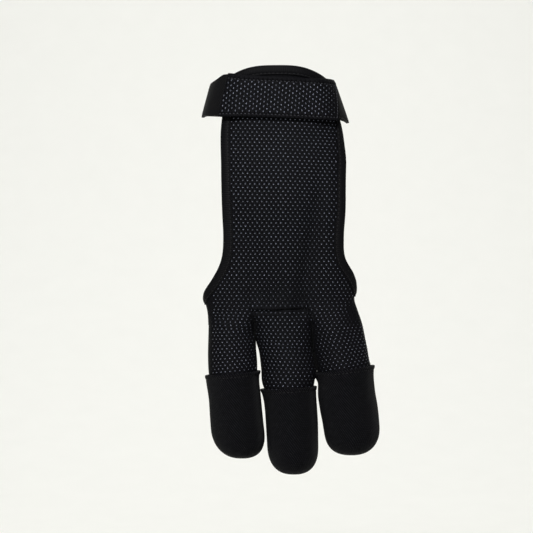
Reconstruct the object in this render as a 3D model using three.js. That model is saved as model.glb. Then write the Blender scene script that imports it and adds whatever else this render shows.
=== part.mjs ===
import * as THREE from 'three';

// Right-handed archery glove, palm side towards -Y, fingertips pointing down.
// X runs across the palm towards the ring finger's side and Z runs up to the wrist strap.
// The origin is the centre of the wrist strap's loop. Lengths are in millimetres.

// Driving sizes of the form that the cloth follows
const palmLength = 120;
const palmWidth = 80;
const handDepth = 30;
const wristWidth = 59.4;
const wristDepth = 40;
const wristFlare = 0.32;
const wristDepthFlare = 0.07;
const wristShift = -0.8;

// Shares of palmLength between which the strap's plain section turns into the palm's
const wristEnd = 0.06;
const palmStart = 0.28;

// Space between two fingers at their fork, and the power that squares off each section
const forkWidth = 2.4;
const sectionPower = 2.4;

// Cloth thicknesses and the clearance between one piece and the next
const clothWall = 1.4;
const capWall = 1.2;
const tapeWall = 0.6;
const elasticWall = 1.2;
const tabWall = 1.6;
const clearance = 0.3;
const capClearance = 0.45;
const tapeClearance = 0.6;
const seamClearance = 0.5;

// Edge tape, strap, tab and cap sizes
const tapeWidth = 3.4;
const archRise = 7.2;
const archPower = 3;
const archStations = 3;
const strapHeight = 20.4;
const strapLift = 0.5;
const strapBackRise = 3.2;
const strapBackPower = 1.5;
const tabHeight = 19;
const tabTilt = -0.045;
const capOverlap = 6;
const hemHeight = 1.6;
const hemSwell = 0.3;
const hemFade = 1.4 * hemHeight;
const tipRound = 15;
const tipPower = 2.3;

// Angles round the strap's loop, in degrees from +X, at which the strap and its tab end
const strapFrom = -50;
const strapTo = 238;
const tabFrom = -131;
const tabTo = -30;
const tabStep = 14;
const fullTurn = 360;

// How finely the cloth is divided
const lobeCells = 8;
const palmRows = 20;
const forkRows = 4;
const legRows = 6;
const backRows = 3;
const strapCells = 36;
const tabCells = 18;
const bandRows = 2;
const tipRows = 4;
const capRows = 3;
const flareFine = 4;

// Sections of the palm. down is a share of palmLength below the origin, left, right and the
// two forks are hundredths of palmWidth, front, mid and back hundredths of handDepth.
const palmSections = [
  { down: 0.17, left: -45.4, right: 45.6, forkA: -14, forkB: 21, front: -75, mid: -3, back: 66 },
  { down: 0.27, left: -47.5, right: 49.4, forkA: -14, forkB: 21, front: -82, mid: -8, back: 62 },
  { down: 0.42, left: -48.2, right: 52.0, forkA: -14, forkB: 21, front: -86, mid: -15, back: 55 },
  { down: 0.58, left: -47.0, right: 52.2, forkA: -14, forkB: 21.5, front: -80, mid: -20, back: 45 },
  { down: 0.71, left: -45.0, right: 50.5, forkA: -14, forkB: 22, front: -75, mid: -23, back: 34 },
  { down: 0.79, left: -43.6, right: 48.5, forkA: -14, forkB: 22.2, front: -72, mid: -25, back: 24 },
  { down: 0.84, left: -42.6, right: 47.2, forkA: -14, forkB: 22.3, front: -71, mid: -28, back: 15 },
  { down: 0.89, left: -41.8, right: 50.2, forkA: -13.9, forkB: 22.5, front: -70, mid: -31, back: 8 },
  { down: 0.94, left: -41.6, right: 52.6, forkA: -13.8, forkB: 22.8, front: -70, mid: -34, back: 2 },
  { down: 1.0, left: -41.6, right: 54.2, forkA: -13.5, forkB: 23, front: -71, mid: -36.5, back: -2 },
  { down: 1.06, left: -41.7, right: 55.8, forkA: -13, forkB: 23.1, front: -73, mid: -38.5, back: -4 },
];

// Stations of the palm panel from its top to the seam of the middle finger. Each side gives
// how far down it lies, in shares of palmLength, and how far across the section it reaches.
const panelStations = [
  { leftDown: -0.07, leftReach: -0.88, rightDown: -0.054, rightReach: 0.95 },
  { leftDown: 0.02, leftReach: -0.82, rightDown: 0.025, rightReach: 0.95 },
  { leftDown: 0.1, leftReach: -0.77, rightDown: 0.1, rightReach: 0.94 },
  { leftDown: 0.21, leftReach: -0.72, rightDown: 0.21, rightReach: 0.87 },
  { leftDown: 0.34, leftReach: -0.69, rightDown: 0.34, rightReach: 0.81 },
  { leftDown: 0.47, leftReach: -0.68, rightDown: 0.47, rightReach: 0.785 },
  { leftDown: 0.59, leftReach: -0.69, rightDown: 0.58, rightReach: 0.775 },
  { leftDown: 0.67, leftReach: -0.75, rightDown: 0.655, rightReach: 0.81 },
  { leftDown: 0.745, leftReach: -0.88, rightDown: 0.72, rightReach: 0.92 },
  { leftDown: 0.805, leftReach: -1, rightDown: 0.77, rightReach: 1 },
  { leftDown: 0.883, leftReach: -1, rightDown: 0.85, rightReach: 1 },
];
const flareStation = 9;

// Depth below the origin, in shares of palmLength, of the line through both forks and of the
// opening's lower edge at the back, each at the left side, the forks and the right side
const forkLine = [0.945, 0.995, 1.05, 1.01];
const openingLine = [0.805, 0.815, 0.795, 0.77];

// Fingers from index to ring. Each has its length below palmLength, the share of it at which
// the cap's lip lies, the lip's slope, and sections with the same columns as the palm's.
const fingers = [
  {
    name: 'index', length: 60, lip: 0.297, lipSlope: 0.09,
    sections: [
      { drop: 0, left: -41.6, right: -15.1 },
      { drop: 0.13, left: -41.7, right: -14.2 },
      { drop: 0.26, left: -41.5, right: -13.6 },
      { drop: 0.36, left: -40.9, right: -13.6 },
      { drop: 0.5, left: -39.3, right: -12.6 },
      { drop: 0.67, left: -38.5, right: -11.5 },
      { drop: 0.8, left: -37.9, right: -10.4 },
      { drop: 1, left: -35.6, right: -8.1 },
    ],
  },
  {
    name: 'middle', length: 68, lip: 0.37, lipSlope: 0.055,
    sections: [
      { drop: 0, left: -11.9, right: 21.5 },
      { drop: 0.12, left: -10.2, right: 22 },
      { drop: 0.24, left: -8.6, right: 22.5 },
      { drop: 0.33, left: -7.2, right: 22 },
      { drop: 0.375, left: -6, right: 21.3 },
      { drop: 0.45, left: -4.9, right: 21.8 },
      { drop: 0.52, left: -4.1, right: 22.4 },
      { drop: 0.62, left: -3.6, right: 22.9 },
      { drop: 0.8, left: -2.8, right: 22.9 },
      { drop: 1, left: -2.5, right: 23.3 },
    ],
  },
  {
    name: 'ring', length: 58, lip: 0.27, lipSlope: 0.125,
    sections: [
      { drop: 0, left: 24.5, right: 54.2 },
      { drop: 0.1, left: 24.7, right: 55.8 },
      { drop: 0.19, left: 25.8, right: 57.6 },
      { drop: 0.25, left: 27.3, right: 58.8 },
      { drop: 0.35, left: 28.4, right: 58.3 },
      { drop: 0.48, left: 29, right: 59.1 },
      { drop: 0.6, left: 30.4, right: 60.4 },
      { drop: 0.8, left: 32.6, right: 61 },
      { drop: 1, left: 30.5, right: 58.2 },
    ],
  },
];

// Forward curl of all three fingers: palm side and back in hundredths of handDepth
const curl = [
  { drop: 0, front: -71, back: -2 },
  { drop: 0.13, front: -74, back: -6 },
  { drop: 0.27, front: -78.5, back: -11.5 },
  { drop: 0.42, front: -83.5, back: -18.5 },
  { drop: 0.67, front: -94.5, back: -31.5 },
  { drop: 1, front: -109, back: -48 },
];

// Long soft folds of the palm cloth, from a start to an end. down is a share of palmLength,
// across a share of palmWidth, width a share of palmWidth and rise a share of handDepth.
const palmFolds = [
  { fromDown: 0.2, fromAcross: 0.06, toDown: 0.84, toAcross: 0.05, width: 0.1, rise: 0.04 },
  { fromDown: 0.32, fromAcross: 0.3, toDown: 0.86, toAcross: 0.17, width: 0.06, rise: -0.055 },
  { fromDown: 0.8, fromAcross: -0.34, toDown: 1, toAcross: -0.34, width: 0.07, rise: 0.025 },
  { fromDown: 0.94, fromAcross: 0.48, toDown: 0.99, toAcross: 0.5, width: 0.05, rise: -0.07 },
];

// Share of a fold's length over which it rises from nothing to its full height
const foldStart = -0.3;
const foldFull = 0.5;

// Progress down the palm panel, 1 at the seam, between which the three fingers grow out of it
const growthStart = 0.8;
const growthEnd = 2;

// Stride and most strides of a walk over the cloth in from its edge
const walkStride = 0.05;
const walkSteps = 200;

const percent = 0.01;

function blend(from, to, share) {
  return from + (to - from) * share;
}

function easeBetween(start, end, value) {
  const share = Math.min(1, Math.max(0, (value - start) / (end - start)));
  return share * share * (3 - 2 * share);
}

// Smooth curve through a table's column: a cubic whose slope at each row is the mean of the
// slopes on its two sides
function readTable(table, key, column, at) {
  const last = table.length - 1;
  let i = 0;
  while (i < last - 1 && at > table[i + 1][key]) i += 1;
  const slope = (a, b) => (table[b][column] - table[a][column]) / (table[b][key] - table[a][key]);
  const here = slope(i, i + 1);
  const startSlope = i > 0 ? (slope(i - 1, i) + here) / 2 : here;
  const endSlope = i < last - 1 ? (here + slope(i + 1, i + 2)) / 2 : here;
  const step = table[i + 1][key] - table[i][key];
  const t = (at - table[i][key]) / step;
  if (t < 0) return table[i][column] + startSlope * t * step;
  if (t > 1) return table[i + 1][column] + endSlope * (t - 1) * step;
  const t2 = t * t;
  const t3 = t2 * t;
  return (2 * t3 - 3 * t2 + 1) * table[i][column] + (t3 - 2 * t2 + t) * step * startSlope
    + (3 * t2 - 2 * t3) * table[i + 1][column] + (t3 - t2) * step * endSlope;
}

// Signed power that squares off a circle into the rounded section of the palm or a finger
function roundedShare(value, power = sectionPower) {
  return Math.sign(value) * Math.abs(value) ** (2 / power);
}

// Section of the form at height z: its middle, half width and front and back depths
function formSection(z) {
  const down = -z / palmLength;
  const palm = (column, size) => readTable(palmSections, 'down', column, down) * percent * size;
  const toPalm = easeBetween(wristEnd, palmStart, down);
  const left = palm('left', palmWidth);
  const right = palm('right', palmWidth);
  const mid = palm('mid', handDepth);
  const wristHalf = wristWidth / 2 - wristFlare * z;
  const wristHalfDepth = wristDepth / 2 - wristDepthFlare * z;
  return {
    middle: blend(wristShift, (left + right) / 2, toPalm),
    half: blend(wristHalf, (right - left) / 2, toPalm),
    mid: blend(0, mid, toPalm),
    front: blend(wristHalfDepth, mid - palm('front', handDepth), toPalm),
    back: blend(wristHalfDepth, palm('back', handDepth) - mid, toPalm),
  };
}

// Height of the palm's folds above the plain section at a place on the palm
function foldRise(x, z) {
  const across = x / palmWidth;
  const down = -z / palmLength;
  return palmFolds.reduce((sum, fold) => {
    const runDown = fold.toDown - fold.fromDown;
    const share = Math.min(1, Math.max(0, (down - fold.fromDown) / runDown));
    const aside = across - blend(fold.fromAcross, fold.toAcross, share);
    const past = down - blend(fold.fromDown, fold.toDown, share);
    const reach = Math.exp(-((aside / fold.width) ** 2) - (past / fold.width) ** 2);
    const fadeIn = easeBetween(foldStart, foldFull, share);
    return sum + fold.rise * handDepth * reach * fadeIn;
  }, 0);
}

// A finger's own section at height z
function fingerSection(finger, z) {
  const drop = (-z - palmLength) / finger.length;
  const left = readTable(finger.sections, 'drop', 'left', drop) * percent * palmWidth;
  const right = readTable(finger.sections, 'drop', 'right', drop) * percent * palmWidth;
  const front = readTable(curl, 'drop', 'front', drop) * percent * handDepth;
  const back = readTable(curl, 'drop', 'back', drop) * percent * handDepth;
  return { left, right, front, back };
}

// The three finger lobes as they grow out of the palm at height z, above the forks
function lobeSection(index, z) {
  const down = -z / palmLength;
  const read = (column, size) => readTable(palmSections, 'down', column, down) * percent * size;
  const forkA = read('forkA', palmWidth);
  const forkB = read('forkB', palmWidth);
  const edges = [
    [read('left', palmWidth), forkA - forkWidth / 2],
    [forkA + forkWidth / 2, forkB - forkWidth / 2],
    [forkB + forkWidth / 2, read('right', palmWidth)],
  ];
  return {
    left: edges[index][0],
    right: edges[index][1],
    front: read('front', handDepth),
    back: read('back', handDepth),
  };
}

// Height of a cap's lip at a place across its finger, and of its tip
function lipHeight(finger, x) {
  const z = -palmLength - finger.lip * finger.length;
  const section = fingerSection(finger, z);
  return z + finger.lipSlope * (x - (section.left + section.right) / 2);
}

function tipHeight(finger) {
  return -palmLength - finger.length;
}

// Columns of the cloth across the glove: the cells of each finger, with one web cell between
const columns = [];
fingers.forEach((finger, index) => {
  for (let i = 0; i <= lobeCells; i += 1) {
    columns.push({ index, turn: i / lobeCells });
  }
});

function lobePoint(section, turn, side, inset) {
  const angle = Math.PI * (1 - turn);
  const mid = (section.front + section.back) / 2;
  const depth = (section.back - section.front) / 2 - inset;
  const x = (section.left + section.right) / 2
    + (section.right - section.left) / 2 * roundedShare(Math.cos(angle));
  return new THREE.Vector2(x, mid + side * (inset + depth * roundedShare(Math.sin(angle))));
}

// How far across the glove each column lies, as a share from the left side to the right
const shareAcross = columns.map((column) => {
  const z = -palmLength * forkLine[1];
  const whole = [lobeSection(0, z).left, lobeSection(2, z).right];
  const x = lobePoint(lobeSection(column.index, z), column.turn, -1, 0).x;
  return (x - whole[0]) / (whole[1] - whole[0]);
});

// Where a line given at the left side, the two forks and the right side lies at a column
function lineDown(line, share) {
  const stops = [0, shareAcross[lobeCells], shareAcross[2 * lobeCells + 1], 1];
  const table = line.map((down, i) => ({ share: stops[i], down }));
  return readTable(table, 'share', 'down', share);
}

// Point of the cloth's middle layer above the forks. growth is 0 where the section is one
// smooth form and 1 where it is three fingers; side is -1 for the palm and 1 for the back.
function formPoint(column, z, reach, growth, side) {
  const section = formSection(z);
  const rest = Math.max(0, 1 - Math.abs(reach) ** sectionPower) ** (1 / sectionPower);
  const depth = side < 0 ? section.front : section.back;
  const x = section.middle + section.half * reach;
  const smooth = new THREE.Vector2(x, section.mid + side * depth * rest);
  const { index, turn } = columns[column];
  const lobe = lobePoint(lobeSection(index, z), turn, side, forkInset(index, turn, growth));
  const middle = section.mid - lobeMid(z);
  lobe.y += middle;
  smooth.lerp(lobe, growth);
  if (side < 0) smooth.y -= foldRise(smooth.x, z) * rest;
  return new THREE.Vector3(smooth.x, smooth.y, z);
}

function lobeMid(z) {
  const section = lobeSection(0, z);
  return (section.front + section.back) / 2;
}

// The web between two fingers keeps front and back walls clear of each other at the fork
function forkInset(index, turn, growth) {
  const full = (clothWall / 2 + seamClearance) * growth;
  const atLeft = index > 0 ? 1 - turn : 0;
  const atRight = index < fingers.length - 1 ? turn : 0;
  return full * Math.max(atLeft, atRight);
}

// Point of a finger's middle layer below the forks, share 0 at the fork and 1 inside the cap
function legPoint(column, share, side) {
  const { index, turn } = columns[column];
  const finger = fingers[index];
  const start = -palmLength * lineDown(forkLine, shareAcross[column]);
  const x = lobePoint(fingerSection(finger, start), turn, side, 0).x;
  const z = blend(start, lipHeight(finger, x) - capOverlap, share);
  const flat = lobePoint(fingerSection(finger, z), turn, side, 0);
  if (side < 0) flat.y -= foldRise(flat.x, z) * Math.sin(Math.PI * turn);
  return new THREE.Vector3(flat.x, flat.y, z);
}

// Row and column grid of points with the outward direction of the cloth at each of them.
// A cell stands in the grid only where it is in cells.
function makePatch(points, cells, side) {
  const outward = points.map((row) => row.map(() => new THREE.Vector3()));
  cells.forEach(([row, column]) => {
    const a = points[row][column];
    const c = points[row + 1][column + 1];
    const b = points[row][column + 1];
    const d = points[row + 1][column];
    const acrossUp = b.clone().sub(d);
    const acrossDown = c.clone().sub(a);
    const normal = acrossDown.cross(acrossUp).multiplyScalar(-side);
    [[0, 0], [0, 1], [1, 0], [1, 1]].forEach(([r, k]) => {
      outward[row + r][column + k].add(normal.clone().normalize());
    });
  });
  outward.forEach((row) => row.forEach((direction) => direction.normalize()));
  return { points, outward, side };
}

function isWeb(column) {
  return column === lobeCells || column === 2 * lobeCells + 1;
}

function cellsBetween(firstRow, endRow, keep) {
  const cells = [];
  for (let row = firstRow; row < endRow; row += 1) {
    for (let column = 0; column < columns.length - 1; column += 1) {
      if (keep(column)) cells.push([row, column]);
    }
  }
  return cells;
}

// Palm side of the glove, from the top of the panel to the ends inside the caps
function makeFront() {
  const rows = [];
  const stationTable = panelStations.map((station, at) => ({ at, ...station }));
  const lastStation = panelStations.length - 1;
  const read = (column, at) => readTable(stationTable, 'at', column, at);
  for (let row = 0; row <= palmRows; row += 1) {
    const at = row / palmRows * lastStation;
    const arch = archRise * (1 - easeBetween(0, archStations, at));
    rows.push(columns.map((_, column) => {
      const share = shareAcross[column];
      const down = blend(read('leftDown', at), read('rightDown', at), share);
      const z = -down * palmLength + arch * (1 - Math.abs(2 * share - 1) ** archPower);
      const reach = blend(read('leftReach', at), read('rightReach', at), share);
      const held = Math.max(-1, Math.min(1, reach));
      return formPoint(column, z, held, palmGrowth(row / palmRows), -1);
    }));
  }
  for (let row = 1; row <= forkRows; row += 1) {
    const share = row / forkRows;
    rows.push(columns.map((_, column) => {
      const across = shareAcross[column];
      const seam = blend(read('leftDown', lastStation), read('rightDown', lastStation), across);
      const z = -palmLength * blend(seam, lineDown(forkLine, across), share);
      return formPoint(column, z, 2 * across - 1, palmGrowth(1 + share), -1);
    }));
  }
  for (let row = 1; row <= legRows; row += 1) {
    rows.push(columns.map((_, column) => legPoint(column, row / legRows, -1)));
  }
  const all = cellsBetween(0, palmRows + forkRows, () => true)
    .concat(cellsBetween(palmRows + forkRows, rows.length - 1, (column) => !isWeb(column)));
  return makePatch(rows, all, -1);
}

function palmGrowth(progress) {
  return easeBetween(growthStart, growthEnd, progress);
}

// Back of the glove, from the opening's edge to the ends inside the caps
function makeBack() {
  const rows = [];
  for (let row = 0; row <= backRows; row += 1) {
    const share = row / backRows;
    rows.push(columns.map((_, column) => {
      const across = shareAcross[column];
      const down = blend(lineDown(openingLine, across), lineDown(forkLine, across), share);
      return formPoint(column, -down * palmLength, 2 * across - 1, easeBetween(0, 1, share), 1);
    }));
  }
  for (let row = 1; row <= legRows; row += 1) {
    rows.push(columns.map((_, column) => legPoint(column, row / legRows, 1)));
  }
  const all = cellsBetween(0, backRows, () => true)
    .concat(cellsBetween(backRows, rows.length - 1, (column) => !isWeb(column)));
  return makePatch(rows, all, 1);
}

// Closed geometry from corner points and faces of three or four corners
function makeGeometry(corners, faces) {
  const positions = corners.flatMap((corner) => [corner.x, corner.y, corner.z]);
  const triangles = faces.flatMap((face) => (face.length === 3 ? [face]
    : [[face[0], face[1], face[2]], [face[0], face[2], face[3]]]));
  const geometry = new THREE.BufferGeometry();
  geometry.setAttribute('position', new THREE.Float32BufferAttribute(positions, 3));
  geometry.setIndex(triangles.flat());
  geometry.computeVertexNormals();
  return geometry;
}

// Cloth wall over a choice of a patch's cells. Its edge is trimmed all round by half the
// seam clearance, so that two neighbours on one patch stay clear of each other.
function clothSolid(patch, cells, wall) {
  const numbers = new Map();
  const places = [];
  const numberOf = (row, column) => {
    const key = `${row},${column}`;
    if (!numbers.has(key)) {
      numbers.set(key, places.length);
      places.push({ point: patch.points[row][column], outward: patch.outward[row][column] });
    }
    return numbers.get(key);
  };
  const quads = cells.map(([row, column]) => {
    const quad = [numberOf(row, column), numberOf(row + 1, column),
      numberOf(row + 1, column + 1), numberOf(row, column + 1)];
    return patch.side < 0 ? quad : quad.reverse();
  });
  const edges = openEdges(quads);
  const trimmed = trimEdge(places, quads, edges);
  const corners = [];
  places.forEach((place, i) => {
    corners.push(trimmed[i].clone().addScaledVector(place.outward, wall / 2));
    corners.push(trimmed[i].clone().addScaledVector(place.outward, -wall / 2));
  });
  const faces = [];
  quads.forEach((quad) => {
    faces.push(quad.map((i) => 2 * i));
    faces.push(quad.map((i) => 2 * i + 1).reverse());
  });
  edges.forEach(([from, to]) => faces.push([2 * from, 2 * from + 1, 2 * to + 1, 2 * to]));
  return makeGeometry(corners, faces);
}

function openEdges(quads) {
  const directed = new Map();
  quads.forEach((quad) => quad.forEach((from, i) => {
    const to = quad[(i + 1) % quad.length];
    directed.set(`${from},${to}`, [from, to]);
  }));
  return [...directed.values()].filter(([from, to]) => !directed.has(`${to},${from}`));
}

function trimEdge(places, quads, edges) {
  const trimmed = places.map((place) => place.point.clone());
  const next = new Map(edges);
  const previous = new Map(edges.map(([from, to]) => [to, from]));
  edges.forEach(([vertex]) => {
    const { point, outward } = places[vertex];
    const inward = new THREE.Vector3();
    let touching = 0;
    quads.filter((quad) => quad.includes(vertex)).forEach((quad) => {
      quad.forEach((i) => inward.add(places[i].point).sub(point));
      touching += 1;
    });
    const along = places[next.get(vertex)].point.clone().sub(places[previous.get(vertex)].point);
    along.normalize();
    inward.addScaledVector(along, -inward.dot(along));
    inward.addScaledVector(outward, -inward.dot(outward)).normalize();
    const miter = touching === 2 ? 1 : Math.SQRT2;
    trimmed[vertex].addScaledVector(inward, seamClearance / 2 * miter);
  });
  return trimmed;
}

// Point and outward direction at a place between a patch's rows and columns
function patchPlace(patch, row, column) {
  const r = Math.min(patch.points.length - 2, Math.floor(row));
  const c = Math.min(columns.length - 2, Math.floor(column));
  const mix = (grid) => {
    const top = grid[r][c].clone().lerp(grid[r][c + 1], column - c);
    const bottom = grid[r + 1][c].clone().lerp(grid[r + 1][c + 1], column - c);
    return top.lerp(bottom, row - r);
  };
  return { point: mix(patch.points), outward: mix(patch.outward).normalize() };
}

// Heading in rows and columns that leads from the edge straight into the cloth
function inwardHeading(patch, start, along) {
  const [row, column] = start;
  const here = patchPlace(patch, row, column);
  const reach = 2;
  const towards = column < columns.length / 2 ? reach : -reach;
  const down = patchPlace(patch, row + 1, column).point.sub(here.point);
  const across = patchPlace(patch, row, column + towards).point.sub(here.point);
  const inward = here.outward.clone().cross(along).normalize();
  if (inward.dot(down) + inward.dot(across) < 0) inward.negate();
  const dd = down.dot(down);
  const da = down.dot(across);
  const aa = across.dot(across);
  const whole = dd * aa - da * da;
  const rows = (inward.dot(down) * aa - inward.dot(across) * da) / whole;
  const cells = (inward.dot(across) * dd - inward.dot(down) * da) / whole;
  const heading = [Math.max(rows, row === 0 ? 0 : -1), cells * towards];
  const size = Math.hypot(heading[0], heading[1]);
  return heading.map((part) => part / size);
}

// Walks over the cloth from its edge until it is the given distance away from the edge's line
function walkInward(patch, start, heading, along, distance) {
  const from = patchPlace(patch, start[0], start[1]).point;
  let place = null;
  for (let step = 1; step < walkSteps; step += 1) {
    const row = Math.max(0, start[0] + heading[0] * walkStride * step);
    const across = start[1] + heading[1] * walkStride * step;
    const column = Math.min(columns.length - 1, Math.max(0, across));
    place = patchPlace(patch, row, column);
    const offset = place.point.clone().sub(from);
    offset.addScaledVector(along, -offset.dot(along));
    if (offset.length() >= distance) break;
  }
  return place;
}

// Places along the open edge of the glove. The rows are halved where the edge flares out.
function edgeRoute(front, back) {
  const right = columns.length - 1;
  const flareRow = flareStation * palmRows / (panelStations.length - 1);
  const sideRows = [];
  for (let row = 1; row < flareRow - flareFine; row += 1) sideRows.push(row);
  for (let row = flareRow - flareFine; row <= flareRow; row += 0.5) sideRows.push(row);
  const route = columns.map((_, column) => ({ patch: front, start: [0, column] }));
  sideRows.forEach((row) => route.push({ patch: front, start: [row, right] }));
  for (let column = right - 1; column > 0; column -= 1) {
    route.push({ patch: back, start: [0, column] });
  }
  sideRows.reverse().forEach((row) => route.push({ patch: front, start: [row, 0] }));
  return route;
}

// Tape folded over the open edge: a U section carried round the whole route
function tapeSolid(front, back) {
  const route = edgeRoute(front, back);
  const places = route.map(({ patch, start }) => patchPlace(patch, start[0], start[1]));
  const inner = clothWall / 2 + tapeClearance;
  const outer = inner + tapeWall;
  const corners = [];
  route.forEach(({ patch, start }, i) => {
    const before = places[(i + places.length - 1) % places.length].point;
    const after = places[(i + 1) % places.length].point;
    const along = after.clone().sub(before).normalize();
    const edge = places[i];
    const heading = inwardHeading(patch, start, along);
    const half = walkInward(patch, start, heading, along, tapeWidth / 2);
    const full = walkInward(patch, start, heading, along, tapeWidth);
    const away = edge.point.clone().sub(half.point);
    away.addScaledVector(along, -away.dot(along));
    away.addScaledVector(edge.outward, -away.dot(edge.outward)).normalize();
    const put = (place, rise, past = 0) => corners.push(place.point.clone()
      .addScaledVector(place.outward, rise).addScaledVector(away, past));
    put(full, outer);
    put(half, outer);
    put(edge, outer);
    put(edge, outer / 2, clearance / 2 + tapeWall);
    put(edge, -outer / 2, clearance / 2 + tapeWall);
    put(edge, -outer);
    put(half, -outer);
    put(full, -outer);
    put(full, -inner);
    put(half, -inner);
    put(edge, -inner, clearance / 2);
    put(edge, inner, clearance / 2);
    put(half, inner);
    put(full, inner);
  });
  return makeGeometry(corners, loopFaces(route.length, corners.length / route.length));
}

// Faces of a section carried round a closed route
function loopFaces(stations, sides) {
  const faces = [];
  for (let i = 0; i < stations; i += 1) {
    const next = (i + 1) % stations;
    for (let k = 0; k < sides; k += 1) {
      const turn = (k + 1) % sides;
      faces.push([i * sides + k, next * sides + k, next * sides + turn, i * sides + turn]);
    }
  }
  return faces;
}

// Band of cloth round the form between two angles, standing off it
function bandSolid(from, to, cells, wall, standOff, heightAt, height) {
  const points = [];
  for (let row = 0; row <= bandRows; row += 1) {
    points.push([]);
    for (let i = 0; i <= cells; i += 1) {
      const angle = THREE.MathUtils.degToRad(blend(from, to, i / cells));
      const off = standOff(blend(from, to, i / cells));
      const plain = formSection(0);
      const across = plain.half * roundedShare(Math.cos(angle));
      const z = heightAt(angle, across) + height * (0.5 - row / bandRows);
      const section = formSection(z);
      points[row].push(new THREE.Vector3(
        section.middle + (section.half + off) * roundedShare(Math.cos(angle)),
        section.mid + (section.front + off) * roundedShare(Math.sin(angle)),
        z,
      ));
    }
  }
  const cellList = [];
  for (let row = 0; row < bandRows; row += 1) {
    for (let i = 0; i < cells; i += 1) cellList.push([row, i]);
  }
  const patch = makePatch(points, cellList, -1);
  return clothSolid(patch, cellList, wall);
}

const strapOff = clothWall / 2 + tapeClearance + tapeWall + clearance + elasticWall / 2;
const tabOff = strapOff + elasticWall / 2 + clearance + tabWall / 2;
const tabOffMiddle = clothWall / 2 + tapeClearance + tapeWall + clearance + tabWall / 2;

function makeStrap() {
  const heightAt = (angle) => strapLift + strapBackRise * Math.max(0, Math.sin(angle)) ** strapBackPower;
  return bandSolid(
    strapFrom, strapTo, strapCells, elasticWall, () => strapOff, heightAt, strapHeight,
  );
}

function makeTab() {
  const standOff = (degrees) => {
    const fromLeft = easeBetween(strapTo - fullTurn, strapTo - fullTurn + tabStep, degrees);
    const fromRight = easeBetween(-strapFrom, tabStep - strapFrom, -degrees);
    return blend(tabOff, tabOffMiddle, Math.min(fromLeft, fromRight));
  };
  const heightAt = (angle, across) => strapLift + tabTilt * across;
  return bandSolid(tabFrom, tabTo, tabCells, tabWall, standOff, heightAt, tabHeight);
}

// Fingertip cap: a hollow thimble whose inside clears the finger's cloth
function capSolid(finger) {
  const around = 2 * lobeCells;
  const innerOff = clothWall / 2 + capClearance;
  const lipZ = -palmLength - finger.lip * finger.length;
  const roundZ = tipHeight(finger) + tipRound;
  const stations = [
    { z: lipZ, lean: 1, hem: hemSwell },
    { z: lipZ - hemHeight, lean: 1, hem: hemSwell },
    { z: lipZ - hemFade, lean: 1, hem: 0 },
  ];
  for (let i = 1; i <= capRows; i += 1) {
    const share = i / capRows;
    stations.push({ z: blend(lipZ - hemFade, roundZ, share), lean: 1 - share, hem: 0 });
  }
  const corners = [];
  const layer = (off, tip, withHem) => {
    const ring = (z, lean, hem, size) => {
      const section = fingerSection(finger, z);
      const middle = (section.left + section.right) / 2;
      const mid = (section.front + section.back) / 2;
      const half = (section.right - section.left) / 2 + off + (withHem ? hem : 0);
      const depth = (section.back - section.front) / 2 + off + (withHem ? hem : 0);
      for (let i = 0; i < around; i += 1) {
        const angle = 2 * Math.PI * i / around;
        const x = middle + size * half * roundedShare(Math.cos(angle));
        const y = mid + size * depth * roundedShare(Math.sin(angle));
        corners.push(new THREE.Vector3(x, y, z + lean * finger.lipSlope * (x - middle)));
      }
    };
    stations.forEach(({ z, lean, hem }) => ring(z, lean, hem, 1));
    for (let i = 1; i < tipRows; i += 1) {
      const angle = Math.PI / 2 * i / tipRows;
      const z = roundZ - (roundZ - tip) * roundedShare(Math.sin(angle), tipPower);
      ring(z, 0, 0, roundedShare(Math.cos(angle), tipPower));
    }
    const end = fingerSection(finger, tip);
    corners.push(new THREE.Vector3((end.left + end.right) / 2, (end.front + end.back) / 2, tip));
  };
  layer(innerOff + capWall, tipHeight(finger), true);
  layer(innerOff, tipHeight(finger) + capWall, false);
  const rings = stations.length + tipRows - 1;
  return makeGeometry(corners, shellFaces(rings, around));
}

// Faces of a thimble: outer rings to a tip, the same inside, and the lip between them
function shellFaces(rings, around) {
  const faces = [];
  const layerSize = rings * around + 1;
  for (let i = 0; i < around; i += 1) {
    const j = (i + 1) % around;
    for (let ring = 0; ring < rings - 1; ring += 1) {
      const upper = ring * around;
      const lower = upper + around;
      const quad = [upper + i, lower + i, lower + j, upper + j];
      faces.push(quad);
      faces.push(quad.map((corner) => corner + layerSize).reverse());
    }
    const lastRing = (rings - 1) * around;
    const fan = [lastRing + i, layerSize - 1, lastRing + j];
    faces.push(fan);
    faces.push(fan.map((corner) => corner + layerSize).reverse());
    faces.push([i, j, layerSize + j, layerSize + i]);
  }
  return faces;
}

const cloth = {
  dotted: { color: 0x18181c, roughness: 0.85, metalness: 0 },
  knit: { color: 0x131316, roughness: 0.9, metalness: 0 },
  tape: { color: 0x1c1c20, roughness: 0.8, metalness: 0 },
  cap: { color: 0x101013, roughness: 0.7, metalness: 0 },
  elastic: { color: 0x202024, roughness: 0.85, metalness: 0 },
};

const glove = new THREE.Group();

function addPiece(name, geometry, finish) {
  const mesh = new THREE.Mesh(geometry, new THREE.MeshStandardMaterial(finish));
  mesh.name = name;
  glove.add(mesh);
}

const front = makeFront();
const back = makeBack();
const isMiddle = (column) => column > lobeCells && column < 2 * lobeCells + 1;
const forkRow = palmRows + forkRows;

const panelCells = cellsBetween(0, palmRows, () => true)
  .concat(cellsBetween(palmRows, forkRow, (column) => !isMiddle(column)))
  .concat(cellsBetween(forkRow, forkRow + legRows, (column) => !isMiddle(column) && !isWeb(column)));
const middleCells = cellsBetween(palmRows, forkRow + legRows, isMiddle);
const backCells = cellsBetween(0, backRows, () => true)
  .concat(cellsBetween(backRows, backRows + legRows, (column) => !isWeb(column)));

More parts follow.
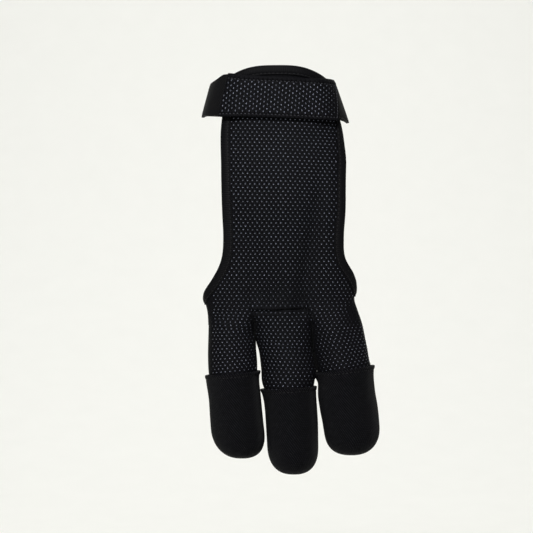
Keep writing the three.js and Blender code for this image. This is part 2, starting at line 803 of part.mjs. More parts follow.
addPiece('palm_panel', clothSolid(front, panelCells, clothWall), cloth.dotted);
addPiece('middle_front', clothSolid(front, middleCells, clothWall), cloth.dotted);
addPiece('finger_backs', clothSolid(back, backCells, clothWall), cloth.knit);
addPiece('edge_binding', tapeSolid(front, back), cloth.tape);
addPiece('wrist_strap', makeStrap(), cloth.elastic);
addPiece('strap_tab', makeTab(), cloth.dotted);
fingers.forEach((finger) => addPiece(`${finger.name}_cap`, capSolid(finger), cloth.cap));

export default glove;
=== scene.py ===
"""Looks of a three-finger archery glove, worn form, palm side to the camera, fingertips down.

Every surface is a numpy grid over the same form as the glove's solids: sections of rounded
squares carried down the palm, which part into three fingers at the forks.
Lengths are in millimetres here, and one function turns them to metres when a mesh is made.
"""

import math

import bpy
import numpy as np
from mathutils import Matrix


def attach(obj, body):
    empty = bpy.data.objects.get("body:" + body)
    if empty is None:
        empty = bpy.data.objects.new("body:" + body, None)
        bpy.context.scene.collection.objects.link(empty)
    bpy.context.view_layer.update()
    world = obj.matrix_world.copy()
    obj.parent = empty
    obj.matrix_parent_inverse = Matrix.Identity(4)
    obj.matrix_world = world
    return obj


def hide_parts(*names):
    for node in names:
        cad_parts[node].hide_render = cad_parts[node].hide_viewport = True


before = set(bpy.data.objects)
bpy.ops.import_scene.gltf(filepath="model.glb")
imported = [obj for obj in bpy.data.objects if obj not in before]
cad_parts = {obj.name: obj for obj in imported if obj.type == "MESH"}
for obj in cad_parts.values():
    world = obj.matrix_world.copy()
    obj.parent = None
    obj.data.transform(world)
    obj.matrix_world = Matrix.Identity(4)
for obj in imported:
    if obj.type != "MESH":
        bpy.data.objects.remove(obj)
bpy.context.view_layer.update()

# Driving sizes of the form that the cloth lies over: palm, strap's loop and fingers. A flare is
# growth for each millimetre down, and a power says how square a section is (2 is round)
PALM_LENGTH = 120.0
PALM_WIDTH = 80.0
FORM_DEPTH = 30.0
LOOP_WIDTH = 59.4
LOOP_DEPTH = 40.0
LOOP_FLARE = 0.32
LOOP_DEPTH_FLARE = 0.07
LOOP_SHIFT = -0.8
FORK_WIDTH = 2.4
SECTION_POWER = 2.4
FINGER_POWER = 2.15
FULL_TURN = 2 * math.pi

# Cloth thicknesses, how far each layer stands off the form, and the gap between two layers
CLOTH_WALL = 1.4
CAP_WALL = 1.2
ELASTIC_WALL = 1.2
TAB_WALL = 1.5
TAPE_WALL = 0.65
TAPE_WIDTH = 3.6
STRAP_OFF = 2.65
TAB_OFF = 4.25
TAB_OFF_MIDDLE = 2.85
CAP_GAP = 0.45
SEAM_GAP = 0.3
TAPE_GAP = 0.1
RIM_TRIM = 0.12

# Arch of the panel's top edge: rise, squareness, and the stations over which it dies out
ARCH_RISE = 6.4
ARCH_POWER = 3.2
ARCH_STATIONS = 3

# Strap and tab, with angles in degrees round the loop, counted from its right side. The tab
# stands lower between the strap's ends and steps up on them over TAB_STEP degrees
STRAP_LIFT = 0.5
TAB_HEIGHT = 20.4
TAB_TILT = -0.045
STRAP_ENDS = (-50.0, 238.0)
TAB_ENDS = (-137.0, -30.0)
TAB_STEP = 14.0

# Tab's outline: widths of the upper and lower hem, how much the left corners rise and drop and
# between which places, and how its right end leans over its last degrees
TAB_HEMS = (2.2, 1.2)
TAB_CORNER = (1.1, 0.5)
TAB_CORNER_REACH = (-12, -26)
TAB_LEAN = (17.0, -4.0)
LEAN_REACH = 45

# Tab's dots: spacing along a row, of the rows and aside from row to row, stretch across and
# along, margins at hems, left end and right end, and share and reach of the fade at the right
TAB_PITCH = 3.48
TAB_ROW = 1.215
TAB_STEP_ASIDE = 1.57
TAB_DOT_STRETCH = (0.85, 1.4)
TAB_DOT_MARGINS = (0.5, 0.9, 2.6)
TAB_END_FADE = (0.4, 10.0, 3.0)

# Caps: how far the finger's cloth runs up into one, then the hem as pairs of distance down
# from the lip and share of its swell, the ring that is sewn and how the ellipse of that ring
# faces, and the height and squareness of the round tip
CAP_OVERLAP = 6.0
HEM_SWELL = 0.32
CAP_HEM = [(0.0, 0.0), (0.15, 0.75), (0.5, 1.0), (1.1, 1.0), (1.5, 0.8), (1.75, 0.1),
           (2.0, -0.1), (2.4, 0.0)]
HEM_SEWING_RING = 5
HEM_FACING = (1, 1.6, 0)
TIP_ROUND = 15.0
TIP_POWER = 2.5

# Raised dots of the cloth: spacing across and along it, half sizes and height; a dome is sunk
# by a share of its height, and its shoulder is shares of its size and height
DOT_ACROSS = 2.37
DOT_ALONG = 1.735
DOT_HALF = (0.55, 0.43)
DOT_HEIGHT = 0.22
DOT_SINK = 0.25
DOT_SHOULDER = (0.78, 0.62)
SMALLEST_DOT = 0.15

# Thread stitches: pitch, then length, width and height of one, then its slant in radians;
# each lies along the line between two points this far before and behind it
STITCH_AIM = 0.3
SEWING = {
    "seam": (1.25, (0.75, 0.3, 0.2), 0.3),
    "tack": (0.5, (1.5, 0.34, 0.3), 1.3),
    "tape": (2.1, (1.5, 0.4, 0.2), 0.0),
    "cap_hem": (2.0, (1.4, 0.36, 0.16), 0.0),
    "overlock_a": (1.9, (1.3, 0.34, 0.2), 0.5),
    "overlock_b": (1.9, (1.3, 0.34, 0.2), -0.9),
    "end_hem": (1.5, (1.3, 0.3, 0.2), 0.1),
}

# Fineness of the grids
LOBE_CELLS = 40
WEB_CELLS = 3
PALM_ROWS = 150
FORK_ROWS = 28
LEG_ROWS = 44
STRAP_CELLS = (300, 30)
TAB_CELLS = (130, 80)
CAP_SIDES = 96
CAP_RINGS = 40
TIP_RINGS = 26
DOT_SIDES = 8
STITCH_SIDES = 6


def table(names, *rows):
    """Named columns from rows of numbers, the first column being the one it is read by."""
    return dict(zip(names.split(), np.array(rows, float).T))


# Palm sections: down is a share of PALM_LENGTH, widths are hundredths of PALM_WIDTH and
# depths hundredths of FORM_DEPTH
PALM = table(
    "down left right fork_a fork_b front mid back",
    (0.17, -45.4, 45.6, -14, 21, -75, -3, 66),
    (0.27, -47.5, 49.4, -14, 21, -82, -8, 62),
    (0.42, -48.2, 52.0, -14, 21, -86, -15, 55),
    (0.58, -47.0, 52.2, -14, 21.5, -80, -20, 45),
    (0.71, -45.0, 50.5, -14, 22, -73, -23, 34),
    (0.79, -45.3, 49.8, -14, 22.2, -68.5, -25, 24),
    (0.84, -44.3, 48.8, -14, 22.3, -67.5, -28, 15),
    (0.89, -42.5, 51.0, -13.9, 22.5, -68.5, -31, 8),
    (0.94, -41.9, 53.5, -13.8, 22.8, -70.5, -34, 2),
    (1.0, -41.8, 55.4, -13.5, 23, -73, -36.5, -2),
    (1.06, -41.9, 56.8, -13, 23.1, -75, -38.5, -4),
)

# Outline of the palm panel by station: shares of PALM_LENGTH down each side and reach across
# the section, -1 and 1 being its two sides. At FLARE_STATION it meets the fingers' backs
PANEL = table(
    "at left_down left_reach right_down right_reach",
    (0, -0.075, -0.92, -0.078, 1.0),
    (1, 0.02, -0.81, 0.025, 0.97),
    (2, 0.1, -0.755, 0.1, 0.965),
    (3, 0.21, -0.71, 0.21, 0.895),
    (4, 0.34, -0.69, 0.34, 0.825),
    (5, 0.47, -0.685, 0.47, 0.795),
    (6, 0.59, -0.69, 0.58, 0.775),
    (7, 0.675, -0.74, 0.665, 0.81),
    (8, 0.762, -0.87, 0.74, 0.95),
    (9, 0.83, -1, 0.797, 1),
    (10, 0.9, -1, 0.867, 1),
)
FLARE_STATION = 9
LAST_STATION = 10

# Shares of PALM_LENGTH over which the loop passes into the palm, and a fork's space closes
PALM_START = (0.06, 0.28)
FORK_CLOSE = (0.93, 0.985)

# Progress down the panel, 1 at its seam and 2 at the forks, over which three lobes grow
LOBE_GROWTH = (0.8, 2.0)

# Lines across the palm at the left side, both forks and the right side
FORK_LINE = (0.945, 0.995, 1.05, 1.01)
OPENING_LINE = (0.83, 0.83, 0.81, 0.797)

# Fingers: order from the left, length, how far down the cap's lip lies as a share of it, the
# lip's slope, and edges by share of the length
FINGERS = [
    {"name": "index", "order": 0, "length": 60.0, "lip": 0.297, "slope": 0.09, "sections": table(
        "drop left right",
        (0, -41.8, -14.6), (0.13, -42.0, -13.1), (0.26, -41.7, -12.6), (0.36, -40.9, -13.4),
        (0.5, -39.3, -12.4), (0.67, -38.4, -11.1), (0.8, -37.5, -9.9), (1, -34.8, -7.6),
    )},
    {"name": "middle", "order": 1, "length": 68.0, "lip": 0.37, "slope": 0.055,
     "sections": table(
        "drop left right",
        (0, -11.5, 21.8), (0.12, -9.6, 22.6), (0.24, -8.4, 23.5), (0.33, -7.9, 23.4),
        (0.375, -6.6, 22.5), (0.45, -4.9, 22.5), (0.52, -4.1, 22.9), (0.62, -3.5, 23.4),
        (0.8, -2.6, 23.6), (1, -2.0, 24.2),
     )},
    {"name": "ring", "order": 2, "length": 58.4, "lip": 0.27, "slope": 0.125, "sections": table(
        "drop left right",
        (0, 24.5, 55.4), (0.1, 24.8, 56.8), (0.19, 26.0, 57.9), (0.25, 27.5, 58.9),
        (0.35, 29.2, 58.6), (0.48, 29.3, 59.4), (0.6, 30.4, 60.9), (0.8, 32.7, 62.0),
        (1, 32.0, 61.5),
    )},
]

# Heights down to which a finger's cloth presses against the next one's, the height over which
# they then part, and half the space where they press
MEET = (-121.0, -136.0)
PART_OVER = 6.0
PRESSED = CLOTH_WALL / 2 - 0.02

# Curl of the fingers: depths of front and back in hundredths of FORM_DEPTH, by share of length
CURL = table(
    "drop front back",
    (0, -73, -2), (0.13, -76.5, -6), (0.27, -80, -11.5), (0.42, -83.5, -18.5),
    (0.67, -94.5, -31.5), (1, -109, -48),
)

# Long soft folds: start and end as shares down and across, width across, rise in depth, and
# the share of its length over which each one grows
FOLDS = [
    (0.2, 0.06, 0.84, 0.05, 0.09, 0.05),
    (0.3, 0.29, 0.86, 0.16, 0.055, -0.075),
    (0.45, -0.22, 0.8, -0.12, 0.07, -0.04),
    (0.8, -0.31, 1.3, -0.3, 0.07, 0.035),
    (0.84, 0.35, 1.2, 0.42, 0.07, 0.04),
    (0.98, 0.06, 1.2, 0.08, 0.09, 0.025),
    (0.93, 0.48, 0.99, 0.5, 0.05, -0.08),
]
FOLD_GROWTH = (-0.3, 0.5)


def read(columns, name, at):
    """Cubic through a table's column whose slope at a row is the mean of its two sides'."""
    keys = next(iter(columns.values()))
    values = columns[name]
    rise = np.diff(values) / np.diff(keys)
    slopes = np.concatenate([rise[:1], (rise[:-1] + rise[1:]) / 2, rise[-1:]])
    at = np.asarray(at, float)
    i = np.clip(np.searchsorted(keys, at, side="left") - 1, 0, len(keys) - 2)
    step = keys[i + 1] - keys[i]
    t = (at - keys[i]) / step
    inside = np.clip(t, 0, 1)
    t2, t3 = inside**2, inside**3
    curve = (
        (2 * t3 - 3 * t2 + 1) * values[i]
        + (t3 - 2 * t2 + inside) * step * slopes[i]
        + (3 * t2 - 2 * t3) * values[i + 1]
        + (t3 - t2) * step * slopes[i + 1]
    )
    beyond = np.where(t < 0, t * slopes[i], np.where(t > 1, (t - 1) * slopes[i + 1], 0))
    return curve + beyond * step


def ease(start, end, value):
    """Smooth step from 0 at start to 1 at end."""
    share = np.clip((value - start) / (end - start), 0, 1)
    return share * share * (3 - 2 * share)


def mix(a, b, share):
    """Straight blend: a where share is 0, b where it is 1."""
    return a + (b - a) * share


def bell(value, centre, width):
    """Bell curve: 1 at the centre, 1/e one width away from it."""
    return np.exp(-((value - centre) / width) ** 2)


def rounded(value, power=SECTION_POWER):
    """Signed power of a sine or cosine that squares a circle off."""
    return np.sign(value) * np.abs(value) ** (2 / power)


def unit(vectors):
    """Each vector divided by its own length."""
    return vectors / (np.linalg.norm(vectors, axis=-1, keepdims=True) + 1e-12)


def form_section(z):
    """Middle, half width, mid depth, front and back depth of loop and palm at height z."""
    down = -z / PALM_LENGTH
    wide = PALM_WIDTH / 100
    deep = FORM_DEPTH / 100
    to_palm = ease(*PALM_START, down)
    left, right = read(PALM, "left", down) * wide, read(PALM, "right", down) * wide
    mid = read(PALM, "mid", down) * deep
    half_depth = LOOP_DEPTH / 2 - LOOP_DEPTH_FLARE * z
    return (
        mix(LOOP_SHIFT, (left + right) / 2, to_palm),
        mix(LOOP_WIDTH / 2 - LOOP_FLARE * z, (right - left) / 2, to_palm),
        mix(0, mid, to_palm),
        mix(half_depth, mid - read(PALM, "front", down) * deep, to_palm),
        mix(half_depth, read(PALM, "back", down) * deep - mid, to_palm),
    )


def fold_rise(x, z):
    """Sum of long bell-shaped ridges and hollows, each along a straight line on the palm."""
    across, down = x / PALM_WIDTH, -z / PALM_LENGTH
    total = 0
    for from_down, from_across, to_down, to_across, width, rise in FOLDS:
        share = np.clip((down - from_down) / (to_down - from_down), 0, 1)
        aside = (across - mix(from_across, to_across, share)) / width
        past = (down - mix(from_down, to_down, share)) / width
        ridge = np.exp(-(aside**2) - past**2)
        total = total + rise * FORM_DEPTH * ridge * ease(*FOLD_GROWTH, share)
    return total


def finger_edge(finger, side, z):
    """Where a finger's left or right edge lies at height z."""
    drop = (-z - PALM_LENGTH) / finger["length"]
    return read(finger["sections"], side, drop) * PALM_WIDTH / 100


def finger_section(finger, z):
    """Left, right, front and back of one finger at height z.

    Down to the height where two fingers part, each edge lies on the line midway to its
    neighbour, less the half space where they press."""
    order = finger["order"]
    left, right = finger_edge(finger, "left", z), finger_edge(finger, "right", z)
    if order > 0:
        meet = (left + finger_edge(FINGERS[order - 1], "right", z)) / 2
        left = mix(meet + PRESSED, left, ease(0, PART_OVER, MEET[order - 1] - z))
    if order < 2:
        meet = (right + finger_edge(FINGERS[order + 1], "left", z)) / 2
        right = mix(meet - PRESSED, right, ease(0, PART_OVER, MEET[order] - z))
    drop = (-z - PALM_LENGTH) / finger["length"]
    deep = FORM_DEPTH / 100
    return left, right, read(CURL, "front", drop) * deep, read(CURL, "back", drop) * deep


def lobe_section(index, z):
    """The same for a finger's lobe where it still grows out of the palm."""
    down = -z / PALM_LENGTH
    wide, deep = PALM_WIDTH / 100, FORM_DEPTH / 100
    fork_a, fork_b = read(PALM, "fork_a", down) * wide, read(PALM, "fork_b", down) * wide
    gap = mix(FORK_WIDTH / 2, PRESSED, ease(*FORK_CLOSE, down))
    left = [read(PALM, "left", down) * wide, fork_a + gap, fork_b + gap][index]
    right = [fork_a - gap, fork_b - gap, read(PALM, "right", down) * wide][index]
    return left, right, read(PALM, "front", down) * deep, read(PALM, "back", down) * deep


def lobe_point(section, turn, side, inset=0.0):
    """Half of a rounded square: turn runs from its left side over the front or back."""
    left, right, front, back = section
    angle = math.pi * (1 - turn)
    x = (left + right) / 2 + (right - left) / 2 * rounded(np.cos(angle), FINGER_POWER)
    depth = (back - front) / 2 - inset
    y = (front + back) / 2 + side * (inset + depth * rounded(np.sin(angle), FINGER_POWER))
    return x, y


def lip_height(finger, x):
    """Height of a cap's lip: its middle height plus its slope times the distance aside."""
    z = np.array(-PALM_LENGTH - finger["lip"] * finger["length"])
    left, right, _, _ = finger_section(finger, z)
    return z + finger["slope"] * (x - (left + right) / 2)


def make_columns():
    """Columns across: LOBE_CELLS over each finger, turn 0 to 1, and WEB_CELLS over each fork."""
    lobe, turn = [], []
    for index in range(3):
        lobe += [index] * (LOBE_CELLS + 1)
        turn += list(np.linspace(0, 1, LOBE_CELLS + 1))
        if index < 2:
            lobe += [index + 0.5] * (WEB_CELLS - 1)
            turn += list(np.linspace(0, 1, WEB_CELLS + 1)[1:-1])
    return np.array(lobe), np.array(turn)


LOBE, TURN = make_columns()
WEB = LOBE % 1 > 0


def spread(lobe_values):
    """Fills the web columns between two fingers with a straight blend of their neighbours."""
    values = np.array(lobe_values, float)
    for index in (0.5, 1.5):
        at = np.flatnonzero(LOBE == index)
        before, after = at[0] - 1, at[-1] + 1
        share = (at - before) / (after - before)
        step = values[..., after] - values[..., before]
        values[..., at] = values[..., before, None] + share * step[..., None]
    return values


def share_across():
    """How far across the palm each column lies at the fork, from 0 at the left side to 1."""
    z = -PALM_LENGTH * FORK_LINE[1]
    x = np.zeros(len(LOBE))
    for index in range(3):
        at = LOBE == index
        x[at] = lobe_point(lobe_section(index, z), TURN[at], -1)[0]
    x = spread(x)
    return (x - x[0]) / (x[-1] - x[0])


ACROSS = share_across()


def line_down(line, share):
    """How far down a line across the palm lies, read between its four stops."""
    stops = [0, ACROSS[LOBE_CELLS], ACROSS[2 * LOBE_CELLS + WEB_CELLS], 1]
    return read({"share": np.array(stops), "down": np.array(line)}, "down", share)


def form_points(z, reach, growth, side):
    """Grid of points above the forks, from a smooth palm to three lobes as growth goes to 1."""
    middle, half, mid, front, back = form_section(z)
    rest = np.maximum(0, 1 - np.abs(reach) ** SECTION_POWER) ** (1 / SECTION_POWER)
    x = middle + half * reach
    y = mid + side * (front if side < 0 else back) * rest
    lobe_x, lobe_y = np.zeros_like(x), np.zeros_like(x)
    for index in range(3):
        at = LOBE == index
        turn = TURN[at]
        left_inset = (1 - turn) * (index > 0)
        right_inset = turn * (index < 2)
        inset = (CLOTH_WALL / 2 + SEAM_GAP) * growth * np.maximum(left_inset, right_inset)
        section = lobe_section(index, z[:, at])
        point_x, point_y = lobe_point(section, turn, side, inset)
        lobe_x[:, at] = point_x
        lobe_y[:, at] = point_y + mid[:, at] - (section[2] + section[3]) / 2
    x = mix(x, spread(lobe_x), growth)
    y = mix(y, spread(lobe_y), growth)
    if side < 0:
        y = y - fold_rise(x, z) * rest
    return np.stack([x, y, z], -1)


def leg_points(share, side):
    """Grid of points down the three fingers, share 0 at the forks and 1 inside the caps."""
    points = np.zeros((len(share), len(LOBE), 3))
    start = -PALM_LENGTH * line_down(FORK_LINE, ACROSS)
    for index, finger in enumerate(FINGERS):
        at = LOBE == index
        turn = TURN[at]
        edge_x = lobe_point(finger_section(finger, start[at]), turn, side)[0]
        end = lip_height(finger, edge_x) - CAP_OVERLAP
        z = mix(start[at], end, share[:, None])
        x, y = lobe_point(finger_section(finger, z), turn, side)
        if side < 0:
            y = y - fold_rise(x, z) * np.sin(math.pi * turn)
        points[:, at] = np.stack([x, y, z], -1)
    return np.moveaxis(spread(np.moveaxis(points, -1, 0)), 0, -1)


def palm_growth(progress):
    """How far the palm has parted into three lobes, 0 to 1, at a progress down the panel."""
    return ease(*LOBE_GROWTH, progress)


def front_grid():
    """Palm side from the arched top of the panel to the finger ends inside the caps."""
    at = np.linspace(0, LAST_STATION, PALM_ROWS + 1)[:, None]
    down = mix(read(PANEL, "left_down", at), read(PANEL, "right_down", at), ACROSS)
    arch = ARCH_RISE * (1 - ease(0, ARCH_STATIONS, at))
    z = -down * PALM_LENGTH + arch * (1 - np.abs(2 * ACROSS - 1) ** ARCH_POWER)
    reach = mix(read(PANEL, "left_reach", at), read(PANEL, "right_reach", at), ACROSS)
    palm = form_points(z, np.clip(reach, -1, 1), palm_growth(at / LAST_STATION), -1)
    share = np.linspace(0, 1, FORK_ROWS + 1)[1:, None]
    seam = mix(PANEL["left_down"][-1], PANEL["right_down"][-1], ACROSS)
    z = -PALM_LENGTH * mix(seam, line_down(FORK_LINE, ACROSS), share)
    base = form_points(z, 0 * z + 2 * ACROSS - 1, palm_growth(1 + share), -1)
    legs = leg_points(np.linspace(0, 1, LEG_ROWS + 1)[1:], -1)
    return np.concatenate([palm, base, legs])


def back_grid():
    """Back of the fingers from the open back's lower edge to the ends inside the caps."""
    share = np.linspace(0, 1, FORK_ROWS + 1)[:, None]
    down = mix(line_down(OPENING_LINE, ACROSS), line_down(FORK_LINE, ACROSS), share)
    z = -down * PALM_LENGTH
    yoke = form_points(z, 0 * z + 2 * ACROSS - 1, ease(0, 1, share), 1)
    legs = leg_points(np.linspace(0, 1, LEG_ROWS + 1)[1:], 1)
    return np.concatenate([yoke, legs])


def directions(points, keep, side):
    """Outward direction at each grid point: the mean of the cells kept round it."""
    a, b = points[:-1, :-1], points[:-1, 1:]
    d, c = points[1:, :-1], points[1:, 1:]
    normal = unit(np.cross(c - a, b - d) * -side) * keep[..., None]
    total = np.zeros_like(points)
    for rows in (slice(None, -1), slice(1, None)):
        for columns in (slice(None, -1), slice(1, None)):
            total[rows, columns] += normal
    return unit(total)


def cloth_lengths(points):
    """Distance across and along the cloth at each grid point, measured on the surface."""
    across = np.linalg.norm(np.diff(points, axis=1), axis=-1)
    across = np.concatenate([np.zeros((len(points), 1)), np.cumsum(across, 1)], 1)
    along = np.linalg.norm(np.diff(points, axis=0), axis=-1)
    along = np.concatenate([np.zeros((1, points.shape[1])), np.cumsum(along, 0)])
    return across, along


def make_mesh(name, points, faces, material, coords=None):
    """Mesh object in metres from points and faces in millimetres, with an optional UV map."""
    mesh = bpy.data.meshes.new(name)
    mesh.from_pydata((np.asarray(points) * 0.001).tolist(), [], [list(f) for f in faces])
    mesh.polygons.foreach_set("use_smooth", np.ones(len(mesh.polygons), bool))
    if coords is not None:
        corner = np.zeros(len(mesh.loops), int)
        mesh.loops.foreach_get("vertex_index", corner)
        layer = mesh.uv_layers.new(name="cloth")
        layer.data.foreach_set("uv", np.asarray(coords)[corner].ravel())
    mesh.update()
    piece = bpy.data.objects.new(name, mesh)
    bpy.context.collection.objects.link(piece)
    mesh.materials.append(material)
    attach(piece, "root")
    return piece


def cloth_piece(name, points, outward, cells, wall, side, material, coords):
    """Closed wall over the kept cells: the grid moved half a wall out and in, and its rim.

    The rim is drawn in by RIM_TRIM towards the middle of the cells beside it, so that two
    pieces sewn together stay clear of each other."""
    rows, columns = points.shape[:2]
    number = np.arange(rows * columns).reshape(rows, columns)
    a, b = number[:-1, :-1][cells], number[:-1, 1:][cells]
    d, c = number[1:, :-1][cells], number[1:, 1:][cells]
    quads = np.stack([a, d, c, b] if side < 0 else [a, b, c, d], -1)
    used, flat = np.unique(quads, return_inverse=True)
    quads = flat.reshape(-1, 4)
    middle = points.reshape(-1, 3)[used]
    normal = outward.reshape(-1, 3)[used]
    uv = coords.reshape(-1, 2)[used]
    count = len(used)
    edges = np.concatenate([quads[:, [k, (k + 1) % 4]] for k in range(4)])
    key = edges[:, 0].astype(np.int64) * count + edges[:, 1]
    twin = edges[:, 1].astype(np.int64) * count + edges[:, 0]
    rim = edges[~np.isin(key, twin)]
    inward = np.zeros_like(middle)
    centres = middle[quads].mean(1)
    for corner in range(4):
        np.add.at(inward, quads[:, corner], centres - middle[quads[:, corner]])
    on_rim = np.unique(rim)
    middle[on_rim] += unit(inward[on_rim]) * RIM_TRIM
    rim_faces = np.stack([rim[:, 0], rim[:, 0] + count, rim[:, 1] + count, rim[:, 1]], -1)
    corners = np.concatenate([middle + normal * wall / 2, middle - normal * wall / 2])
    faces = np.concatenate([quads, quads[:, ::-1] + count, rim_faces])
    return make_mesh(name, corners, faces, material, np.concatenate([uv, uv]))


def sample(grid, row, column):
    """Value of a grid at fractional rows and columns."""
    r = np.clip(np.floor(row).astype(int), 0, grid.shape[0] - 2)
    c = np.clip(np.floor(column).astype(int), 0, grid.shape[1] - 2)
    fr, fc = (row - r)[..., None], (column - c)[..., None]
    top = mix(grid[r, c], grid[r, c + 1], fc)
    bottom = mix(grid[r + 1, c], grid[r + 1, c + 1], fc)
    return mix(top, bottom, fr)


def copies(shape_points, shape_faces, place, x_axis, y_axis, normal):
    """One small shape set at many places, each turned into its own three directions."""
    local = np.asarray(shape_points, float)
    spots = (
        place[:, None]
        + x_axis[:, None] * local[None, :, 0:1]
        + y_axis[:, None] * local[None, :, 1:2]
        + normal[:, None] * local[None, :, 2:3]
    )
    faces = []
    base = np.arange(len(place)) * len(local)
    for face in shape_faces:
        faces += (base[:, None] + np.array(face)).tolist()
    return spots.reshape(-1, 3), faces


def dome():
    """Low oval dome: a ring sunk in the cloth, a smaller one above it, a top and a bottom."""
    sides = DOT_SIDES
    turn = np.arange(sides) * FULL_TURN / sides
    rings = []
    for size, height in ((1.0, -DOT_SINK), (DOT_SHOULDER[0], DOT_SHOULDER[1])):
        rings.append(np.stack([
            DOT_HALF[0] * size * np.cos(turn),
            DOT_HALF[1] * size * np.sin(turn),
            np.full(sides, DOT_HEIGHT * height),
        ], -1))
    points = np.concatenate(rings + [[[0, 0, DOT_HEIGHT]], [[0, 0, -DOT_HEIGHT * DOT_SINK]]])
    faces = []
    for k in range(sides):
        n = (k + 1) % sides
        faces += [(k, n, sides + n, sides + k), (sides + k, sides + n, 2 * sides),
                  (n, k, 2 * sides + 1)]
    return points, faces


def capsule(length, width, height):
    """Stitch lying along x: three rings that swell to the middle, closed by a pole each end."""
    sides = STITCH_SIDES
    turn = np.arange(sides) * FULL_TURN / sides
    points = [[-length / 2, 0, 0]]
    for along, size in ((-0.36, 0.8), (0, 1), (0.36, 0.8)):
        ring = np.stack([
            np.full(sides, along * length),
            width / 2 * size * np.cos(turn),
            height * size * np.sin(turn),
        ], -1)
        points += ring.tolist()
    points.append([length / 2, 0, 0])
    a, b, c, end = 1, 1 + sides, 1 + 2 * sides, 1 + 3 * sides
    faces = []
    for k in range(sides):
        n = (k + 1) % sides
        faces += [(0, a + k, a + n), (end, c + n, c + k)]
        faces += [(a + k, b + k, b + n, a + n), (b + k, c + k, c + n, b + n)]
    return np.array(points), [face[::-1] for face in faces]


def stitch_points(line, normals, pitch):
    """Evenly spaced places on a line, each with its direction along the line and its normal."""
    step = np.linalg.norm(np.diff(line, axis=0), axis=1)
    run = np.concatenate([[0], np.cumsum(step)])
    count = max(1, int(run[-1] / pitch))
    at = (np.arange(count) + 0.5) * run[-1] / count

    def along_run(values, places):
        """Values of the line read straight between its points at distances along it."""
        return np.stack([np.interp(places, run, values[:, k]) for k in range(3)], -1)
    aim = along_run(line, at + STITCH_AIM) - along_run(line, at - STITCH_AIM)
    return along_run(line, at), unit(aim), unit(along_run(normals, at))


def stitches(name, line, normals, kind, material, lift=0.0):
    """Row of thread stitches on a line, each turned by its slant about the cloth's normal."""
    pitch, size, slant = SEWING[kind]
    place, along, normal = stitch_points(line, normals, pitch)
    aside = np.cross(normal, along)
    turned = along * math.cos(slant) + aside * math.sin(slant)
    shape, faces = capsule(*size)
    points, all_faces = copies(
        shape, faces, place + normal * lift, turned, np.cross(normal, turned), normal
    )
    return make_mesh(name, points, all_faces, material)


def linear(code):
    """Linear colour from an sRGB hex value."""
    parts = [int(code[k:k + 2], 16) / 255 for k in (1, 3, 5)]
    value = [p / 12.92 if p <= 0.04045 else ((p + 0.055) / 1.055) ** 2.4 for p in parts]
    return (*value, 1.0)


def add(tree, kind, sockets, **settings):
    """New shader node with its settings; a socket is given a value or another node's output."""
    made = tree.nodes.new("ShaderNode" + kind)
    for name, value in settings.items():
        setattr(made, name, value)
    for name, value in sockets.items():
        if isinstance(value, bpy.types.NodeSocket):
            tree.links.new(value, made.inputs[name])
        else:
            made.inputs[name].default_value = value
    return made


def new_material(name, **sockets):
    """Material with one shader, whose plain sockets are set here."""
    material = bpy.data.materials.new(name)
    material.use_nodes = True
    shader = material.node_tree.nodes["Principled BSDF"]
    for socket, value in sockets.items():
        shader.inputs[socket.replace("_", " ")].default_value = value
    return material, material.node_tree, shader


# The bands of a wave texture of scale 1 lie this far apart
WAVE_UNIT = FULL_TURN / 20

# Depth of the relief that a full bump gives, in metres
BUMP_DEPTH = 0.0003


def mottled(name, scale, detail, dark, light, **sockets):
    """Material whose tone drifts from dark to light with a noise on Object coordinates."""
    material, tree, shader = new_material(name, **sockets)
    place = add(tree, "TexCoord", {}).outputs["Object"]
    patches = add(tree, "TexNoise", {"Vector": place, "Scale": scale, "Detail": detail})
    colour = add(tree, "Mix", {
        "Factor": patches.outputs["Fac"], 6: linear(dark), 7: linear(light),
    }, data_type="RGBA")
    tree.links.new(colour.outputs[2], shader.inputs["Base Color"])
    return material


def ribbed_cloth(name, rib, lean, waver, fuzz, tones, relief, shown, **sockets):
    """Cloth on the piece's own map, with ribs every rib mm, turned by lean degrees, and fuzz.

    waver is how far the ribs stray and how finely, fuzz the scale and detail of the noise.
    Where the ribs are shown, the tone is ribs times fuzz and the relief the ribs alone.
    Otherwise the tone is the fuzz and the relief is ribs plus fuzz."""
    material, tree, shader = new_material(name, **sockets)
    place = add(tree, "UVMap", {}, uv_map="cloth").outputs["UV"]
    turned = add(tree, "Mapping", {"Vector": place, "Rotation": (0, 0, math.radians(lean))})
    ribs = add(tree, "TexWave", {
        "Vector": turned.outputs[0], "Scale": WAVE_UNIT / rib, "Distortion": waver[0],
        "Detail": 2.0, "Detail Scale": waver[1],
    }, bands_direction="X").outputs["Fac"]
    loose = add(tree, "TexNoise", {
        "Vector": place, "Scale": fuzz[0], "Detail": fuzz[1],
    }).outputs["Fac"]
    joined = add(tree, "Math", {0: ribs, 1: loose}, operation="MULTIPLY" if shown else "ADD")
    colour = add(tree, "Mix", {
        "Factor": joined.outputs[0] if shown else loose, 6: linear(tones[0]),
        7: linear(tones[1]),
    }, data_type="RGBA")
    bump = add(tree, "Bump", {
        "Height": ribs if shown else joined.outputs[0], "Strength": relief,
        "Distance": BUMP_DEPTH,
    })
    tree.links.new(colour.outputs[2], shader.inputs["Base Color"])
    tree.links.new(bump.outputs[0], shader.inputs["Normal"])
    return material


